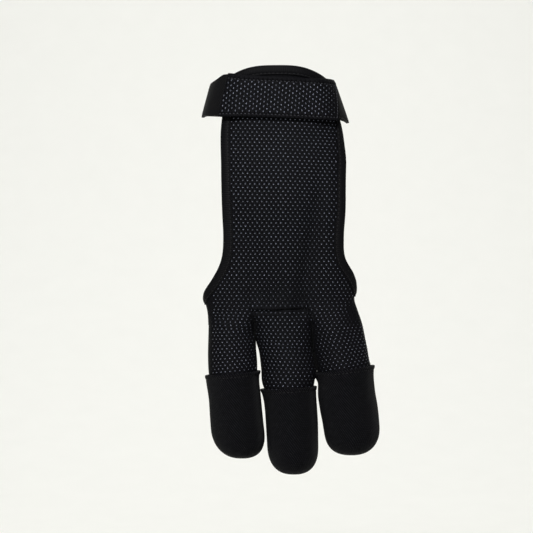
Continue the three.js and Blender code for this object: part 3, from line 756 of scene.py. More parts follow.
def dotted_knit():
    """Nylon knit ground of the dotted cloth: near black, with darker pits between the dots.

    The cloth map holds the dots' own spacing, so cosine times cosine is 1 on every dot and
    -1 in the pits between them."""
    material, tree, shader = new_material(
        "nylon_knit_ground", Roughness=0.7, Sheen_Weight=0.006, Sheen_Roughness=0.4,
        Specular_IOR_Level=0.04,
    )
    place = add(tree, "UVMap", {}, uv_map="cloth").outputs["UV"]
    parts = add(tree, "SeparateXYZ", {"Vector": place})
    waves = []
    for axis, period in (("X", DOT_ACROSS), ("Y", 2 * DOT_ALONG)):
        angle = add(tree, "Math", {0: parts.outputs[axis], 1: FULL_TURN / period},
                    operation="MULTIPLY")
        waves.append(add(tree, "Math", {0: angle.outputs[0]}, operation="COSINE").outputs[0])
    lattice = add(tree, "Math", {0: waves[0], 1: waves[1]}, operation="MULTIPLY")
    # 0 in the middle of a pit and 1 outside it
    pits = add(tree, "MapRange", {
        "Value": lattice.outputs[0], "From Min": -0.95, "From Max": -0.1,
    })
    loops = add(tree, "TexNoise", {"Vector": place, "Scale": 1.3, "Detail": 4.0})
    tone = add(tree, "Math", {0: pits.outputs[0], 1: loops.outputs["Fac"]}, operation="MULTIPLY")
    colour = add(tree, "Mix", {
        "Factor": tone.outputs[0], 6: linear("#010102"), 7: linear("#0b0b0e"),
    }, data_type="RGBA")
    height = add(tree, "Math", {0: pits.outputs[0], 1: loops.outputs["Fac"]}, operation="ADD")
    bump = add(tree, "Bump", {
        "Height": height.outputs[0], "Strength": 0.5, "Distance": BUMP_DEPTH,
    })
    tree.links.new(colour.outputs[2], shader.inputs["Base Color"])
    tree.links.new(bump.outputs[0], shader.inputs["Normal"])
    return material


GROUND = dotted_knit()

# Silicone print of the dots: dark grey, with a soft and slightly cold shine on each crown
DOTS = mottled(
    "silicone_dots", 180.0, 3.0, "#050506", "#0e0f12",
    Roughness=0.26, Specular_IOR_Level=1.0, Specular_Tint=linear("#dfe7ff"),
)

# Polyester knit of the backs: matte, its ribs drawn 1.1 mm apart so that they show
KNIT = ribbed_cloth(
    "polyester_knit", 1.0833, 0, (1.2, 2.0), (2.2, 5.0), ("#030304", "#111113"), 0.5, False,
    Roughness=0.85, Sheen_Weight=0.008, Specular_IOR_Level=0.04,
)

# Woven nylon tape: matte black, with fine ribs across it every 0.9 mm and worn lighter
TAPE = ribbed_cloth(
    "nylon_tape", 0.8976, 0, (0.8, 3.0), (1.1, 5.0), ("#020203", "#070709"), 0.35, False,
    Roughness=0.6, Sheen_Weight=0.005, Sheen_Roughness=0.4, Specular_IOR_Level=0.05,
)

# Coated twill of the caps: deep matte black, its diagonal ribs 0.95 mm apart
TWILL = ribbed_cloth(
    "coated_twill", 0.9491, -32, (0.6, 2.5), (0.5, 6.0), ("#000001", "#161619"), 1.0, True,
    Roughness=0.6, Sheen_Weight=0.01, Sheen_Roughness=0.35, Specular_IOR_Level=0.035,
)

# Braided polyester elastic: slanting ribs 1.05 mm apart, drawn a little coarse
ELASTIC = ribbed_cloth(
    "braided_elastic", 1.0472, 38, (0.5, 1.0), (1.6, 4.0), ("#030304", "#0c0c0e"), 0.4, True,
    Roughness=0.6, Sheen_Weight=0.012, Specular_IOR_Level=0.06,
)

# Bonded nylon thread: dark, with a faint gloss along each stitch
THREAD = mottled(
    "nylon_thread", 400.0, 2.0, "#1c1c1f", "#34353a", Roughness=0.5, Specular_IOR_Level=0.15,
)
BLACK_THREAD = mottled(
    "black_thread", 400.0, 2.0, "#070708", "#121214", Roughness=0.5, Specular_IOR_Level=0.15,
)


# Cloth of palm and fingers: grids, kept cells and outward directions
front = front_grid()
back = back_grid()
SEAM_ROW = PALM_ROWS
FORK_ROW = PALM_ROWS + FORK_ROWS
FLARE_ROW = SEAM_ROW * FLARE_STATION // LAST_STATION
MIDDLE_FIRST = LOBE_CELLS + WEB_CELLS
MIDDLE_LAST = 2 * LOBE_CELLS + WEB_CELLS
cell_lobe = np.where(WEB[:-1] | WEB[1:], -1, LOBE[:-1]).astype(int)
cell_web = cell_lobe < 0
front_cells = np.ones((front.shape[0] - 1, front.shape[1] - 1), bool)
front_cells[FORK_ROW:, cell_web] = False
back_cells = np.ones((back.shape[0] - 1, back.shape[1] - 1), bool)
back_cells[FORK_ROWS:, cell_web] = False

# Seam over the middle finger: the groove's depth with its drift, and its half width; laps
# beside it as height, place and width; height, pace and reach of the puckers; and the sines
# by which its line wavers, as height, pace and start
SEAM_DEPTH = (1.35, 0.25, 0.8)
SEAM_HALF = 0.7
SEAM_LAPS = [(0.4, -1.3, 1.0), (0.25, 1.7, 1.1)]
SEAM_PUCKER = (0.16, 1.15, 3.2)
SEAM_WAVER = [(0.16, 0.45, 2.4), (0.07, 1.1, 0.0)]


def seam_groove(points, normals):
    """Sewn seam of the middle finger: a narrow groove whose depth and line waver a little.

    The cloth moves out by the laps' bell curves and the puckers' sine, and in by the groove,
    and all of it dies out over the five columns at each fork."""
    away = cloth_lengths(points)[1]
    away = away - away[SEAM_ROW]
    columns = np.arange(points.shape[1])
    begun = ease(MIDDLE_FIRST - 4, MIDDLE_FIRST + 1, columns)
    over = begun * (1 - ease(MIDDLE_LAST - 1, MIDDLE_LAST + 4, columns))
    x = points[SEAM_ROW, :, 0]
    waver = sum(height * np.sin(x * pace + start) for height, pace, start in SEAM_WAVER)
    deep = SEAM_DEPTH[0] + SEAM_DEPTH[1] * np.sin(x * SEAM_DEPTH[2])
    groove = np.exp(-np.abs((away - waver) / SEAM_HALF) ** 3) * deep
    lap = sum(height * bell(away, place, width) for height, place, width in SEAM_LAPS)
    pucker = SEAM_PUCKER[0] * np.sin(columns * SEAM_PUCKER[1]) * bell(away, 0, SEAM_PUCKER[2])
    return points + normals * (over * (lap + pucker - groove))[..., None]


front = seam_groove(front, directions(front, front_cells, -1))
front_normal = directions(front, front_cells, -1)
back_normal = directions(back, back_cells, 1)


def level_rims(normals, first_row, blend_rows):
    """Turns the cloth's direction straight sideways where palm and back sides are joined.

    Its part in depth is dropped and the rest made one long again."""
    rows = np.arange(len(normals))
    share = ease(first_row - blend_rows, first_row, rows)[:, None]
    for column in (0, normals.shape[1] - 1):
        flat = unit(normals[:, column] * np.array([1.0, 0.0, 1.0]))
        normals[:, column] = unit(mix(normals[:, column], flat, share))
    edges = np.flatnonzero((TURN == 0) | (TURN == 1))
    legs = slice(len(normals) - LEG_ROWS, None)
    for column in edges[(edges > 0) & (edges < normals.shape[1] - 1)]:
        normals[legs, column] = unit(normals[legs, column] * np.array([1.0, 0.0, 1.0]))


level_rims(front_normal, FLARE_ROW, 10)
level_rims(back_normal, 0, 1)

# Rows of dots: their tilt on the palm and the heights over which it sets in, then on each
# finger a tilt that grows below the forks, and a slide for each millimetre down
PALM_TILT = -0.025
PALM_TILT_HEIGHTS = (-100, -20)
FINGER_TILT = (0.1, -0.02, 0.2)
FINGER_SLIDE = (0.075, 0, 0.09)
TILT_TOP = -106
TILT_REACH = 34


def row_growth():
    """How far the palm has parted into fingers at each row of the palm side."""
    palm = palm_growth(np.linspace(0, 1, PALM_ROWS + 1))
    base = palm_growth(1 + np.linspace(0, 1, FORK_ROWS + 1)[1:])
    return np.concatenate([palm, base, np.ones(LEG_ROWS)])[:, None]


def lattice_map():
    """The dots' own coordinates: distance across the cloth, and height plus the rows' tilt."""
    across = cloth_lengths(front)[0]
    centre = [int(np.flatnonzero(LOBE == index)[LOBE_CELLS // 2]) for index in range(3)]
    whole = across - across[:, centre[1], None] + front[:, centre[1], None, 0]
    lobed = np.zeros_like(across)
    tilt = np.zeros_like(across)
    z = front[..., 2]
    for index in range(3):
        at = LOBE == index
        part = across[:, at] - across[:, centre[index], None]
        lobed[:, at] = part + front[FORK_ROW, centre[index], 0]
        low = np.maximum(0, TILT_TOP - z[:, at])
        rise = FINGER_TILT[index] * ease(0, TILT_REACH, low)
        tilt[:, at] = rise * part + FINGER_SLIDE[index] * low
    u = mix(whole, spread(lobed), row_growth())
    palm_tilt = PALM_TILT * ease(*PALM_TILT_HEIGHTS, z)
    shift = palm_tilt * front[..., 0] + spread(tilt)
    return np.stack([u, shift - z], -1)


front_map = lattice_map()

# A dot keeps this far from the end of its row, and a row that advances less than this from
# one column to the next is read finger by finger
DOT_MARGIN = 0.2
LEAST_ADVANCE = 0.02


def place_dots():
    """Grid places of the dots, row by row of the lattice, staggered by half a spacing."""
    rows, columns = [], []
    column = np.arange(front.shape[1])
    borders = [0, LOBE_CELLS + 2, MIDDLE_LAST + 2, front.shape[1] - 1]
    v = front_map[..., 1]
    first, last = int(v.min() / DOT_ALONG), int(v.max() / DOT_ALONG) + 1
    for k in range(first, last):
        level = k * DOT_ALONG
        row = np.array([np.interp(level, v[:, c], np.arange(len(v))) for c in column])
        inside = (v[0] < level) & (v[-1] > level)
        u = sample(front_map, row, column.astype(float))[:, 0]
        stops = borders if (np.diff(u) < LEAST_ADVANCE).any() else [0, front.shape[1] - 1]
        for a, b in zip(stops[:-1], stops[1:]):
            run = np.maximum.accumulate(u[a:b + 1])
            j = np.arange(math.ceil(run[0] / DOT_ACROSS - 1), math.floor(run[-1] / DOT_ACROSS) + 1)
            want = (j + 0.5 * (k % 2)) * DOT_ACROSS
            want = want[(want > run[0] + DOT_MARGIN) & (want < run[-1] - DOT_MARGIN)]
            at = np.interp(want, run, column[a:b + 1])
            keep = inside[np.clip(np.round(at).astype(int), 0, len(column) - 1)]
            columns += list(at[keep])
            rows += list(np.interp(at[keep], column, row))
    return np.array(rows), np.array(columns)


def edge_distance(rows, columns):
    """Distance from a place on the cloth to the nearest point of the palm's open edge."""
    point = sample(front, rows, columns)
    sides = front[:FLARE_ROW + 1]
    edge = np.concatenate([front[0], sides[:, 0], sides[:, -1]])
    gap = np.full(len(rows), np.inf)
    chunk = 40
    for start in range(0, len(edge), chunk):
        part = edge[start:start + chunk]
        distance = np.linalg.norm(point[:, None] - part[None], axis=-1).min(1)
        gap = np.minimum(gap, distance)
    return gap


# Where the cloth is left plain: beside the tape, at the very top, in a strip down the index
# finger's outer side, and along the seam
PLAIN_BESIDE_TAPE = 0.5
PLAIN_ABOVE = 9.5
STRIP_TOP = -92
STRIP_EDGE = (-32.0, -31.0)
PLAIN_BESIDE_SEAM = 0.95

# Where dots are smaller, as painted shade: the real dots are all one size, and shrinking them
# darkens the cloth where shade falls. HOLLOW and ABOVE_SEAM are bell curves: share, x and its
# reach, height and its reach. LOWER_PALM is a share and the heights between which it sets in and
# dies out, and PALM_FOLD adds a share along a leaning line: its x, its lean for each millimetre
# down, how far down that is counted from, and its reach. The sides are shares and turns over one
# finger
HOLLOW = (1.3, 39.0, 4.3, -107.5, 6.5)
HOLLOW_RIM = 1.15
ABOVE_SEAM = (0.36, 5.0, 20.0, -100.0, 7.0)
LOWER_PALM = (0.12, (-38.0, -58.0), (-98.0, -110.0))
PALM_FOLD = (0.2, 23.0, 0.127, 38.0, 3.0)
# Painted shade on the fingers: it sets in between the heights FINGERS_BELOW, grows by a share for
# each finger to the right, and fades the dots at the fingers' outer and inner sides
FINGERS_BELOW = (-105, -112)
FINGER_DIM = 0.06
OUTER_SIDE = (0.22, (0.4, 0.1), (0.7, 0.95))
INNER_SIDES = (0.04, 0.17, 0.27, 0.18)


def dot_sizes(rows, columns):
    """Size of each dot: 1, or less as painted shade where a fold, a hollow, a seam or a finger's
    side lies in shade, since the real dots are all one size, and 0 where the cloth is plain.

    Each place multiplies it by 1 less a share of a bell curve or of a smooth step."""
    point = sample(front, rows, columns)
    x, z = point[:, 0], point[:, 2]
    size = (edge_distance(rows, columns) > TAPE_WIDTH + PLAIN_BESIDE_TAPE).astype(float)
    size[z > PLAIN_ABOVE] = 0
    size *= np.where(z > STRIP_TOP, 1, ease(*STRIP_EDGE, x))
    # Painted shade: the dots shrink in the hollow, above the seam, down the lower palm and its
    # fold, and on the fingers' sides
    share, middle, reach, height, tall = HOLLOW
    size *= np.clip(HOLLOW_RIM - share * bell(x, middle, reach) * bell(z, height, tall), 0, 1)
    share, middle, reach, height, tall = ABOVE_SEAM
    size *= 1 - share * bell(x, middle, reach) * bell(z, height, tall)
    share, begins, ends = LOWER_PALM
    fold_share, middle, lean, top, reach = PALM_FOLD
    fold = bell(x, middle + lean * (z + top), reach)
    size *= 1 - ease(*begins, z) * (1 - ease(*ends, z)) * (share + fold_share * fold)
    turn = np.interp(columns, np.arange(len(TURN)), TURN)
    lobe = np.interp(columns, np.arange(len(LOBE)), LOBE)
    on_fingers = ease(*FINGERS_BELOW, z)
    size *= 1 - FINGER_DIM * on_fingers * lobe
    share, index_side, ring_side = OUTER_SIDE
    outer = np.where(lobe < 0.6, ease(*index_side, turn), 0)
    outer = np.where(lobe > 1.4, ease(*ring_side, turn), outer)
    size *= 1 - share * on_fingers * outer
    edge, middle_left, ring_left, right = INNER_SIDES
    left_fade = ease(edge, np.where(lobe > 1.5, ring_left, middle_left), turn)
    right_fade = ease(edge, right, 1 - turn)
    size *= mix(1, np.where(lobe > 0.6, left_fade, 1), on_fingers)
    size *= mix(1, np.where(lobe < 1.4, right_fade, 1), on_fingers)
    along = cloth_lengths(front)[1]
    from_seam = sample((along - along[SEAM_ROW])[..., None], rows, columns)[:, 0]
    on_middle = (columns > LOBE_CELLS - 1) & (columns < MIDDLE_LAST + WEB_CELLS + 1)
    size[(np.abs(from_seam) < PLAIN_BESIDE_SEAM) & on_middle] = 0
    return size


def dots_on(name, grid, normals, rows, columns, size, lift, stretch=(1.0, 1.0)):
    """Domes standing on a grid of cloth at fractional rows and columns, stretched over it."""
    keep = size > SMALLEST_DOT
    rows, columns, size = rows[keep], columns[keep], size[keep]
    place = sample(grid, rows, columns)
    normal = unit(sample(normals, rows, columns))
    ahead = sample(grid, rows, np.minimum(columns + 0.5, grid.shape[1] - 1.001))
    behind = sample(grid, rows, np.maximum(columns - 0.5, 0))
    x_axis = unit(ahead - behind)
    x_axis = unit(x_axis - normal * (x_axis * normal).sum(-1, keepdims=True))
    y_axis = np.cross(normal, x_axis)
    shape, faces = dome()
    scale = size[:, None]
    points, all_faces = copies(
        shape, faces, place + normal * lift, x_axis * scale * stretch[0],
        y_axis * scale * stretch[1], normal * scale,
    )
    piece = make_mesh(name, points, all_faces, DOTS)


is_middle_cell = cell_lobe == 1
panel_cells = front_cells.copy()
panel_cells[SEAM_ROW:, is_middle_cell] = False
middle_cells = front_cells & is_middle_cell[None, :]
middle_cells[:SEAM_ROW] = False

panel = cloth_piece(
    "palm_cloth", front, front_normal, panel_cells, CLOTH_WALL, -1, GROUND, front_map,
)
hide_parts("palm_panel")
middle = cloth_piece(
    "middle_cloth", front, front_normal, middle_cells, CLOTH_WALL, -1, GROUND, front_map,
)
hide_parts("middle_front")

across, along = cloth_lengths(back)
backs = cloth_piece(
    "back_cloth", back, back_normal, back_cells, CLOTH_WALL, 1, KNIT, np.stack([across, along], -1),
)
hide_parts("finger_backs")

dot_rows, dot_columns = place_dots()
dots_on("raised_dots", front, front_normal, dot_rows, dot_columns,
        dot_sizes(dot_rows, dot_columns), CLOTH_WALL / 2)


# Heights of the stitches below the seam's line and of the tack above it, and how far a thread
# lies above the cloth
BELOW_SEAM = 0.75
TACK_ABOVE = 0.35
THREAD_LIFT = 0.05


def seam_sewing():
    """Short light stitches just below the middle finger's seam, and a tack at its outer end."""
    count = 60
    columns = np.linspace(MIDDLE_FIRST + 1, MIDDLE_LAST - 1, count)
    rows = np.full(count, float(SEAM_ROW))
    line = sample(front, rows, columns)
    normal = unit(sample(front_normal, rows, columns))
    sewn = stitches("seam_stitches", line - [0, 0, BELOW_SEAM], normal, "seam", THREAD,
                    CLOTH_WALL / 2 + THREAD_LIFT)
    tack = stitches("seam_tack", line[-8:] + [0, 0, TACK_ABOVE], normal[-8:], "tack", THREAD,
                    CLOTH_WALL / 2 + 2 * THREAD_LIFT)


seam_sewing()

# Walk in from the edge: rows and columns that the cloth's own steps are read over, then the
# number of steps and the length of one in rows and columns
READ_ROWS = 6
READ_COLUMNS = 10.0
WALK_STEPS = 260
WALK_STRIDE = 0.06


def edge_walk(grid, normals, rows, columns, along, distances):
    """Places a given distance in from the cloth's edge, walked straight in over the cloth.

    The straight way in is the direction on the cloth at right angles to the edge, solved in
    rows and columns from the cloth's own steps down and across."""
    here = sample(grid, rows, columns)
    towards = np.where(columns < grid.shape[1] / 2, READ_COLUMNS, -READ_COLUMNS)
    down = sample(grid, rows + READ_ROWS, columns) - here
    over = sample(grid, rows, np.clip(columns + towards, 0, grid.shape[1] - 1.001)) - here
    inward = unit(np.cross(unit(sample(normals, rows, columns)), along))
    facing = (inward * (down + over)).sum(-1, keepdims=True)
    inward = np.where(facing < 0, -inward, inward)
    dd, da, aa = (down * down).sum(-1), (down * over).sum(-1), (over * over).sum(-1)
    whole = dd * aa - da * da
    by_down, by_over = (inward * down).sum(-1), (inward * over).sum(-1)
    to_row = (by_down * aa - by_over * da) / whole * READ_ROWS
    to_column = (by_over * dd - by_down * da) / whole * towards
    size = np.hypot(to_row, to_column)
    to_row, to_column = to_row / size, to_column / size
    step = np.arange(WALK_STEPS) * WALK_STRIDE
    walk_rows = np.clip(rows[:, None] + to_row[:, None] * step, 0, grid.shape[0] - 1.001)
    walk_columns = np.clip(
        columns[:, None] + to_column[:, None] * step, 0, grid.shape[1] - 1.001
    )
    path = sample(grid, walk_rows, walk_columns)
    offset = path - here[:, None]
    offset = offset - along[:, None] * (offset * along[:, None]).sum(-1, keepdims=True)
    gone = np.maximum.accumulate(np.linalg.norm(offset, axis=-1), axis=1)
    found = []
    for distance in distances:
        pick = np.minimum((gone < distance).sum(1), len(step) - 1)
        at = np.arange(len(rows))
        found.append((
            path[at, pick],
            unit(sample(normals, walk_rows[at, pick], walk_columns[at, pick])),
        ))
    return found


def edge_route():
    """The open edge as runs of rows and columns: top, right side, back opening, left side."""
    right = front.shape[1] - 1.001
    columns = np.arange(0, front.shape[1] - 1).astype(float)
    sides = np.arange(1.0, FLARE_ROW + 1)
    return [
        (front, front_normal, np.zeros(len(columns)), columns),
        (front, front_normal, sides - 1, np.full(len(sides), right)),
        (back, back_normal, np.zeros(len(columns)), right - columns),
        (front, front_normal, sides[::-1], np.zeros(len(sides))),
    ]


TAPE_INNER = CLOTH_WALL / 2 + TAPE_GAP
TAPE_OUTER = TAPE_INNER + TAPE_WALL

# Tape's outside: distance in from the edge, and height above or below TAPE_OUTER, with a dip
# at the row of stitches. TAPE_HALF is where the way outwards is read. The nose is its start
# and reach past the edge and how much it is drawn in, the lining distance in and side
TAPE_PROFILE = [
    (3.9, -0.35), (3.7, -0.12), (3.4, -0.1), (3.1, -0.3), (2.8, -0.1), (2.3, 0.04), (1.6, 0.1),
    (0.8, 0.06), (0.2, -0.04),
]
TAPE_SEWING = (3.1, -0.3)
TAPE_HALF = 1.6
TAPE_NOSE = (0.1, 1.1, 0.1)
TAPE_LINING = [(3.9, -1), (2, -1), (0.2, -1), (-0.25, 0), (0.2, 1), (2, 1), (3.9, 1)]


def tape_section():
    """Folded tape: pairs of distance in from the edge and height above or below the cloth.

    The outside over the cloth, half an ellipse round the edge, the same outside under the
    cloth, and the lining back to the start."""
    outside = [(reach, TAPE_OUTER + height) for reach, height in TAPE_PROFILE]
    turn = np.linspace(math.pi / 2, -math.pi / 2, 9)[1:-1]
    start, reach_out, drawn_in = TAPE_NOSE
    nose = [
        (-start - reach_out * math.cos(t), (TAPE_OUTER - drawn_in) * math.sin(t)) for t in turn
    ]
    under = [(reach, -height) for reach, height in outside[::-1]]
    return outside + nose + under + [(reach, side * TAPE_INNER) for reach, side in TAPE_LINING]


def make_tape():
    """Edge tape: its section carried round the whole route, bent to lie on the cloth.

    Each point is a place so far in from the edge, moved by its height along the cloth's
    normal. Those of the nose go outwards from the edge instead."""
    section = tape_section()
    route = edge_route()
    edge = np.concatenate([sample(g, r, c) for g, n, r, c in route])
    along = unit(np.roll(edge, -1, 0) - np.roll(edge, 1, 0))
    distances = sorted({max(s, 0.0) for s, _ in section})
    places = {distance: [] for distance in distances}
    start = 0
    for grid, normals, rows, columns in route:
        part = along[start:start + len(rows)]
        start += len(rows)
        walked = edge_walk(grid, normals, rows, columns, part, distances)
        for distance, found in zip(distances, walked):
            places[distance].append(found)
    joined = {
        d: [np.concatenate([f[k] for f in found]) for k in (0, 1)] for d, found in places.items()
    }
    tip, tip_normal = joined[distances[0]]
    half = joined[TAPE_HALF][0]
    away = tip - half
    away = away - along * (away * along).sum(-1, keepdims=True)
    away = unit(away - tip_normal * (away * tip_normal).sum(-1, keepdims=True))
    length = np.concatenate([[0], np.cumsum(np.linalg.norm(np.diff(tip, axis=0), axis=1))])
    points, coords = [], []
    for reach, height in section:
        point, normal = joined[max(reach, 0.0)]
        points.append(point + normal * height - away * min(reach, 0.0))
        coords.append(np.stack([length, np.full(len(length), reach + height)], -1))
    points, coords = np.stack(points, 1), np.stack(coords, 1)
    stations, sides = points.shape[:2]
    number = np.arange(stations * sides).reshape(stations, sides)
    ahead = np.roll(number, -1, 0)
    faces = np.stack([number, ahead, np.roll(ahead, -1, 1), np.roll(number, -1, 1)], -1)
    piece = make_mesh(
        "edge_tape", points.reshape(-1, 3), faces.reshape(-1, 4), TAPE, coords.reshape(-1, 2)
    )
    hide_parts("edge_binding")
    line, normal = joined[TAPE_SEWING[0]]
    sewn = stitches("tape_stitches", line + normal * (TAPE_OUTER + TAPE_SEWING[1]), normal,
                    "tape", BLACK_THREAD)


make_tape()


# Edges of the strap by angle round its loop, how far it bulges off the form there, and how
# much further its lower edge flares
STRAP = table(
    "angle top bottom bulge skirt",
    (-50, 10.3, -8.9, 0.0, 0),
    (-35, 10.4, -8.8, 0.3, 0.2),
    (-20, 10.4, -9.3, 0.8, 0.6),
    (-8, 10.4, -10.5, 1.2, 1.0),
    (0, 10.4, -11.2, 1.3, 1.0),
    (12, 10.6, -9.8, 1.2, 0.8),
    (30, 10.9, -8.2, 0.9, 0.2),
    (60, 11.4, -7.4, 0.6, 0),
    (120, 11.0, -6.8, 0.6, 0),
    (150, 9.9, -6.8, 1.6, 0),
    (168, 8.9, -7.3, 2.4, 0),
    (183, 8.7, -8.5, 2.6, 0),
    (190, 8.8, -8.2, 2.5, 0),
    (197, 9.4, -8.0, 2.2, 0),
    (204, 10.4, -8.1, 1.8, 0),
    (212, 12.2, -8.4, 1.1, 0),
    (222, 12.4, -8.6, 0.4, 0),
    (238, 12.3, -8.7, 0.0, 0),
)


def band_grid(ends, stand_off, edges_at, cells, lean=(0.0, 0.0)):
    """Band of cloth round the loop between two angles, standing off the form.

    Its last end leans: its angle changes from lean[0] at the top to lean[1] at the bottom."""
    degrees = np.linspace(ends[0], ends[1], cells[0] + 1)[None, :]
    down = np.linspace(0, 1, cells[1] + 1)[:, None]
    degrees = degrees + ease(ends[1] - LEAN_REACH, ends[1], degrees) * mix(*lean, down)
    angle = np.radians(degrees)
    half = form_section(np.zeros(1))[1][0]
    top, bottom = edges_at(degrees, half * rounded(np.cos(angle)))
    z = mix(top, bottom, down)
    middle, half, mid, depth, _ = form_section(z)
    off = stand_off(degrees, down)
    x = middle + (half + off) * rounded(np.cos(angle))
    y = mid + (depth + off) * rounded(np.sin(angle))
    return np.stack([x, y, z], -1)


def band_piece(name, points, wall, material):
    """Band as a closed wall whose map holds the distances across and up the cloth."""
    cells = np.ones((points.shape[0] - 1, points.shape[1] - 1), bool)
    normal = directions(points, cells, -1)
    across, along = cloth_lengths(points)
    return cloth_piece(name, points, normal, cells, wall, -1, material,
                       np.stack([across, -along], -1)), normal


# Strap: how thin its woven edges are, and how much of its bulge is lost at the lower edge
SELVEDGE = 0.25
BULGE_LOSS = 0.35


def make_strap():
    """Elastic strap: the form's loop plus the table's bulge, with its flare growing downwards."""
    def edges_at(degrees, _):
        """Heights of the upper and lower edge, read from the table."""
        return read(STRAP, "top", degrees), read(STRAP, "bottom", degrees)

    def stand_off(degrees, down):
        """Distance off the form: bulge and flare, less a steep power near both edges."""
        selvedge = SELVEDGE * np.abs(2 * down - 1) ** 8
        bulge = read(STRAP, "bulge", degrees) * (1 - BULGE_LOSS * down)
        return STRAP_OFF + bulge + read(STRAP, "skirt", degrees) * down - selvedge
    points = band_grid(STRAP_ENDS, stand_off, edges_at, STRAP_CELLS)
    piece, _ = band_piece("elastic_strap", points, ELASTIC_WALL, ELASTIC)
    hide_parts("wrist_strap")


# Tab's hems: depth and half width of the sewn groove, of the rolled edge, and the swell of
# the folded cloth between them with the height over which it rises
HEM_GROOVE = (0.4, 0.4)
HEM_ROLL = (0.5, 0.6)
HEM_FOLD = (0.12, 0.8)


def make_tab():
    """Strap tab: a tilted band that steps up where it leaves the strap's two ends.

    Each long edge has a hem: the cloth's height less a bell curve for the sewn groove and one
    for the rolled edge, plus the swell of the fold."""
    def edges_at(_, across):
        """Heights of the two edges: a tilted middle line and half the height, plus corners."""
        centre = STRAP_LIFT + TAB_TILT * across
        corner = ease(*TAB_CORNER_REACH, across)
        top = centre + TAB_HEIGHT / 2 + TAB_CORNER[0] * corner
        return top, centre - TAB_HEIGHT / 2 - TAB_CORNER[1] * corner

    def stand_off(degrees, down):
        """Distance off the form: smooth steps along the tab, then hems across it."""
        left_end, right_end = STRAP_ENDS[1] - 360, -STRAP_ENDS[0]
        from_left = ease(left_end, left_end + TAB_STEP, degrees)
        from_right = ease(right_end, right_end + TAB_STEP, -degrees)
        flat = mix(TAB_OFF, TAB_OFF_MIDDLE, np.minimum(from_left, from_right))
        edge = np.minimum(down, 1 - down) * TAB_HEIGHT
        hem = np.where(down < 0.5, TAB_HEMS[0], TAB_HEMS[1])
        groove = HEM_GROOVE[0] * bell(edge, hem, HEM_GROOVE[1])
        rolled = HEM_ROLL[0] * bell(edge, 0, HEM_ROLL[1])
        return flat - groove - rolled + HEM_FOLD[0] * ease(hem, hem - HEM_FOLD[1], edge)
    points = band_grid(TAB_ENDS, stand_off, edges_at, TAB_CELLS, TAB_LEAN)
    piece, normal = band_piece("tab_cloth", points, TAB_WALL, GROUND)
    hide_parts("strap_tab")
    return points, normal


make_strap()
tab_points, tab_normal = make_tab()


def tab_dots():
    """Dots of the tab, whose cloth is cut the other way: wide apart across, close in rows.

    Rows, and the steps along each of them, are counted from the middle of the tab. They keep
    clear of hems and ends, and grow smaller towards the right end."""
    across, along = cloth_lengths(tab_points)
    middle = tab_points.shape[1] // 2
    gone = along[:, middle]
    hem_margin, left_margin, right_margin = TAB_DOT_MARGINS
    fade, fade_start, fade_end = TAB_END_FADE
    top, bottom = TAB_HEMS[0] + hem_margin, gone[-1] - TAB_HEMS[1] - hem_margin
    rows, columns, size = [], [], []
    for k in range(1, int(gone[-1] / TAB_ROW)):
        level = k * TAB_ROW
        if not top < level < bottom:
            continue
        row = float(np.interp(level, gone, np.arange(len(gone))))
        run = across[int(row)] - across[int(row), middle]
        aside = k * TAB_STEP_ASIDE
        first = math.ceil((run[0] + left_margin - aside) / TAB_PITCH)
        last = math.floor((run[-1] - right_margin - aside) / TAB_PITCH)
        want = aside + np.arange(first, last + 1) * TAB_PITCH
        rows += [row] * len(want)
        columns += list(np.interp(want, run, np.arange(len(run))))
        size += list(1 - fade * ease(fade_start, fade_end, run[-1] - want))
    dots_on("tab_dots", tab_points, tab_normal, np.array(rows), np.array(columns),
            np.array(size), TAB_WALL / 2, TAB_DOT_STRETCH)


tab_dots()


def cap_rings(finger, tip, with_hem):
    """Rings down a cap as columns: height, lean with the lip, stand-out of the hem, size.

    Down the hem, then straight down with the lean dying out, then a rounded-square dome whose
    height follows a sine to the tip as its size follows the cosine."""
    top = -PALM_LENGTH - finger["lip"] * finger["length"]
    low = -PALM_LENGTH - finger["length"] + TIP_ROUND
    swell = HEM_SWELL if with_hem else 0.0
    rings = [(top - down, 1.0, out * swell, 1.0) for down, out in CAP_HEM]
    for share in np.linspace(0, 1, CAP_RINGS)[1:]:
        rings.append((mix(top - CAP_HEM[-1][0], low, share), 1 - share, 0.0, 1.0))
    for turn in np.linspace(0, math.pi / 2, TIP_RINGS)[1:-1]:
        z = low - (low - tip) * rounded(np.sin(turn), TIP_POWER)
        rings.append((z, 0.0, 0.0, rounded(np.cos(turn), TIP_POWER)))
    return np.array(rings, float).T[..., None]


def cap_layer(finger, off, tip, with_hem):
    """One wall of a cap: the finger's section at each ring, standing off it, and the pole."""
    angle = np.arange(CAP_SIDES) * FULL_TURN / CAP_SIDES
    z, lean, hem, size = cap_rings(finger, tip, with_hem)
    left, right, front_y, back_y = finger_section(finger, z)
    middle, mid = (left + right) / 2, (front_y + back_y) / 2
    half, depth = (right - left) / 2 + off + hem, (back_y - front_y) / 2 + off + hem
    x = middle + size * half * rounded(np.cos(angle), FINGER_POWER)
    y = mid + size * depth * rounded(np.sin(angle), FINGER_POWER)
    points = np.stack([x, y, z + lean * finger["slope"] * (x - middle)], -1)
    left, right, front_y, back_y = finger_section(finger, np.array(tip))
    return points, np.array([(left + right) / 2, (front_y + back_y) / 2, tip])


def close_wrap(piece, full):
    """Carries the map on over the face where it would jump back to its start."""
    layer = piece.data.uv_layers[0]
    values = np.zeros(len(layer.data) * 2)
    layer.data.foreach_get("uv", values)
    values = values.reshape(-1, 2)
    starts = np.zeros(len(piece.data.polygons), int)
    piece.data.polygons.foreach_get("loop_start", starts)
    highest = np.maximum.reduceat(values[:, 0], starts)
    sizes = np.diff(np.append(starts, len(values)))
    jump = np.repeat(highest, sizes) - values[:, 0] > full / 2
    values[jump, 0] += full
    layer.data.foreach_set("uv", values.ravel())


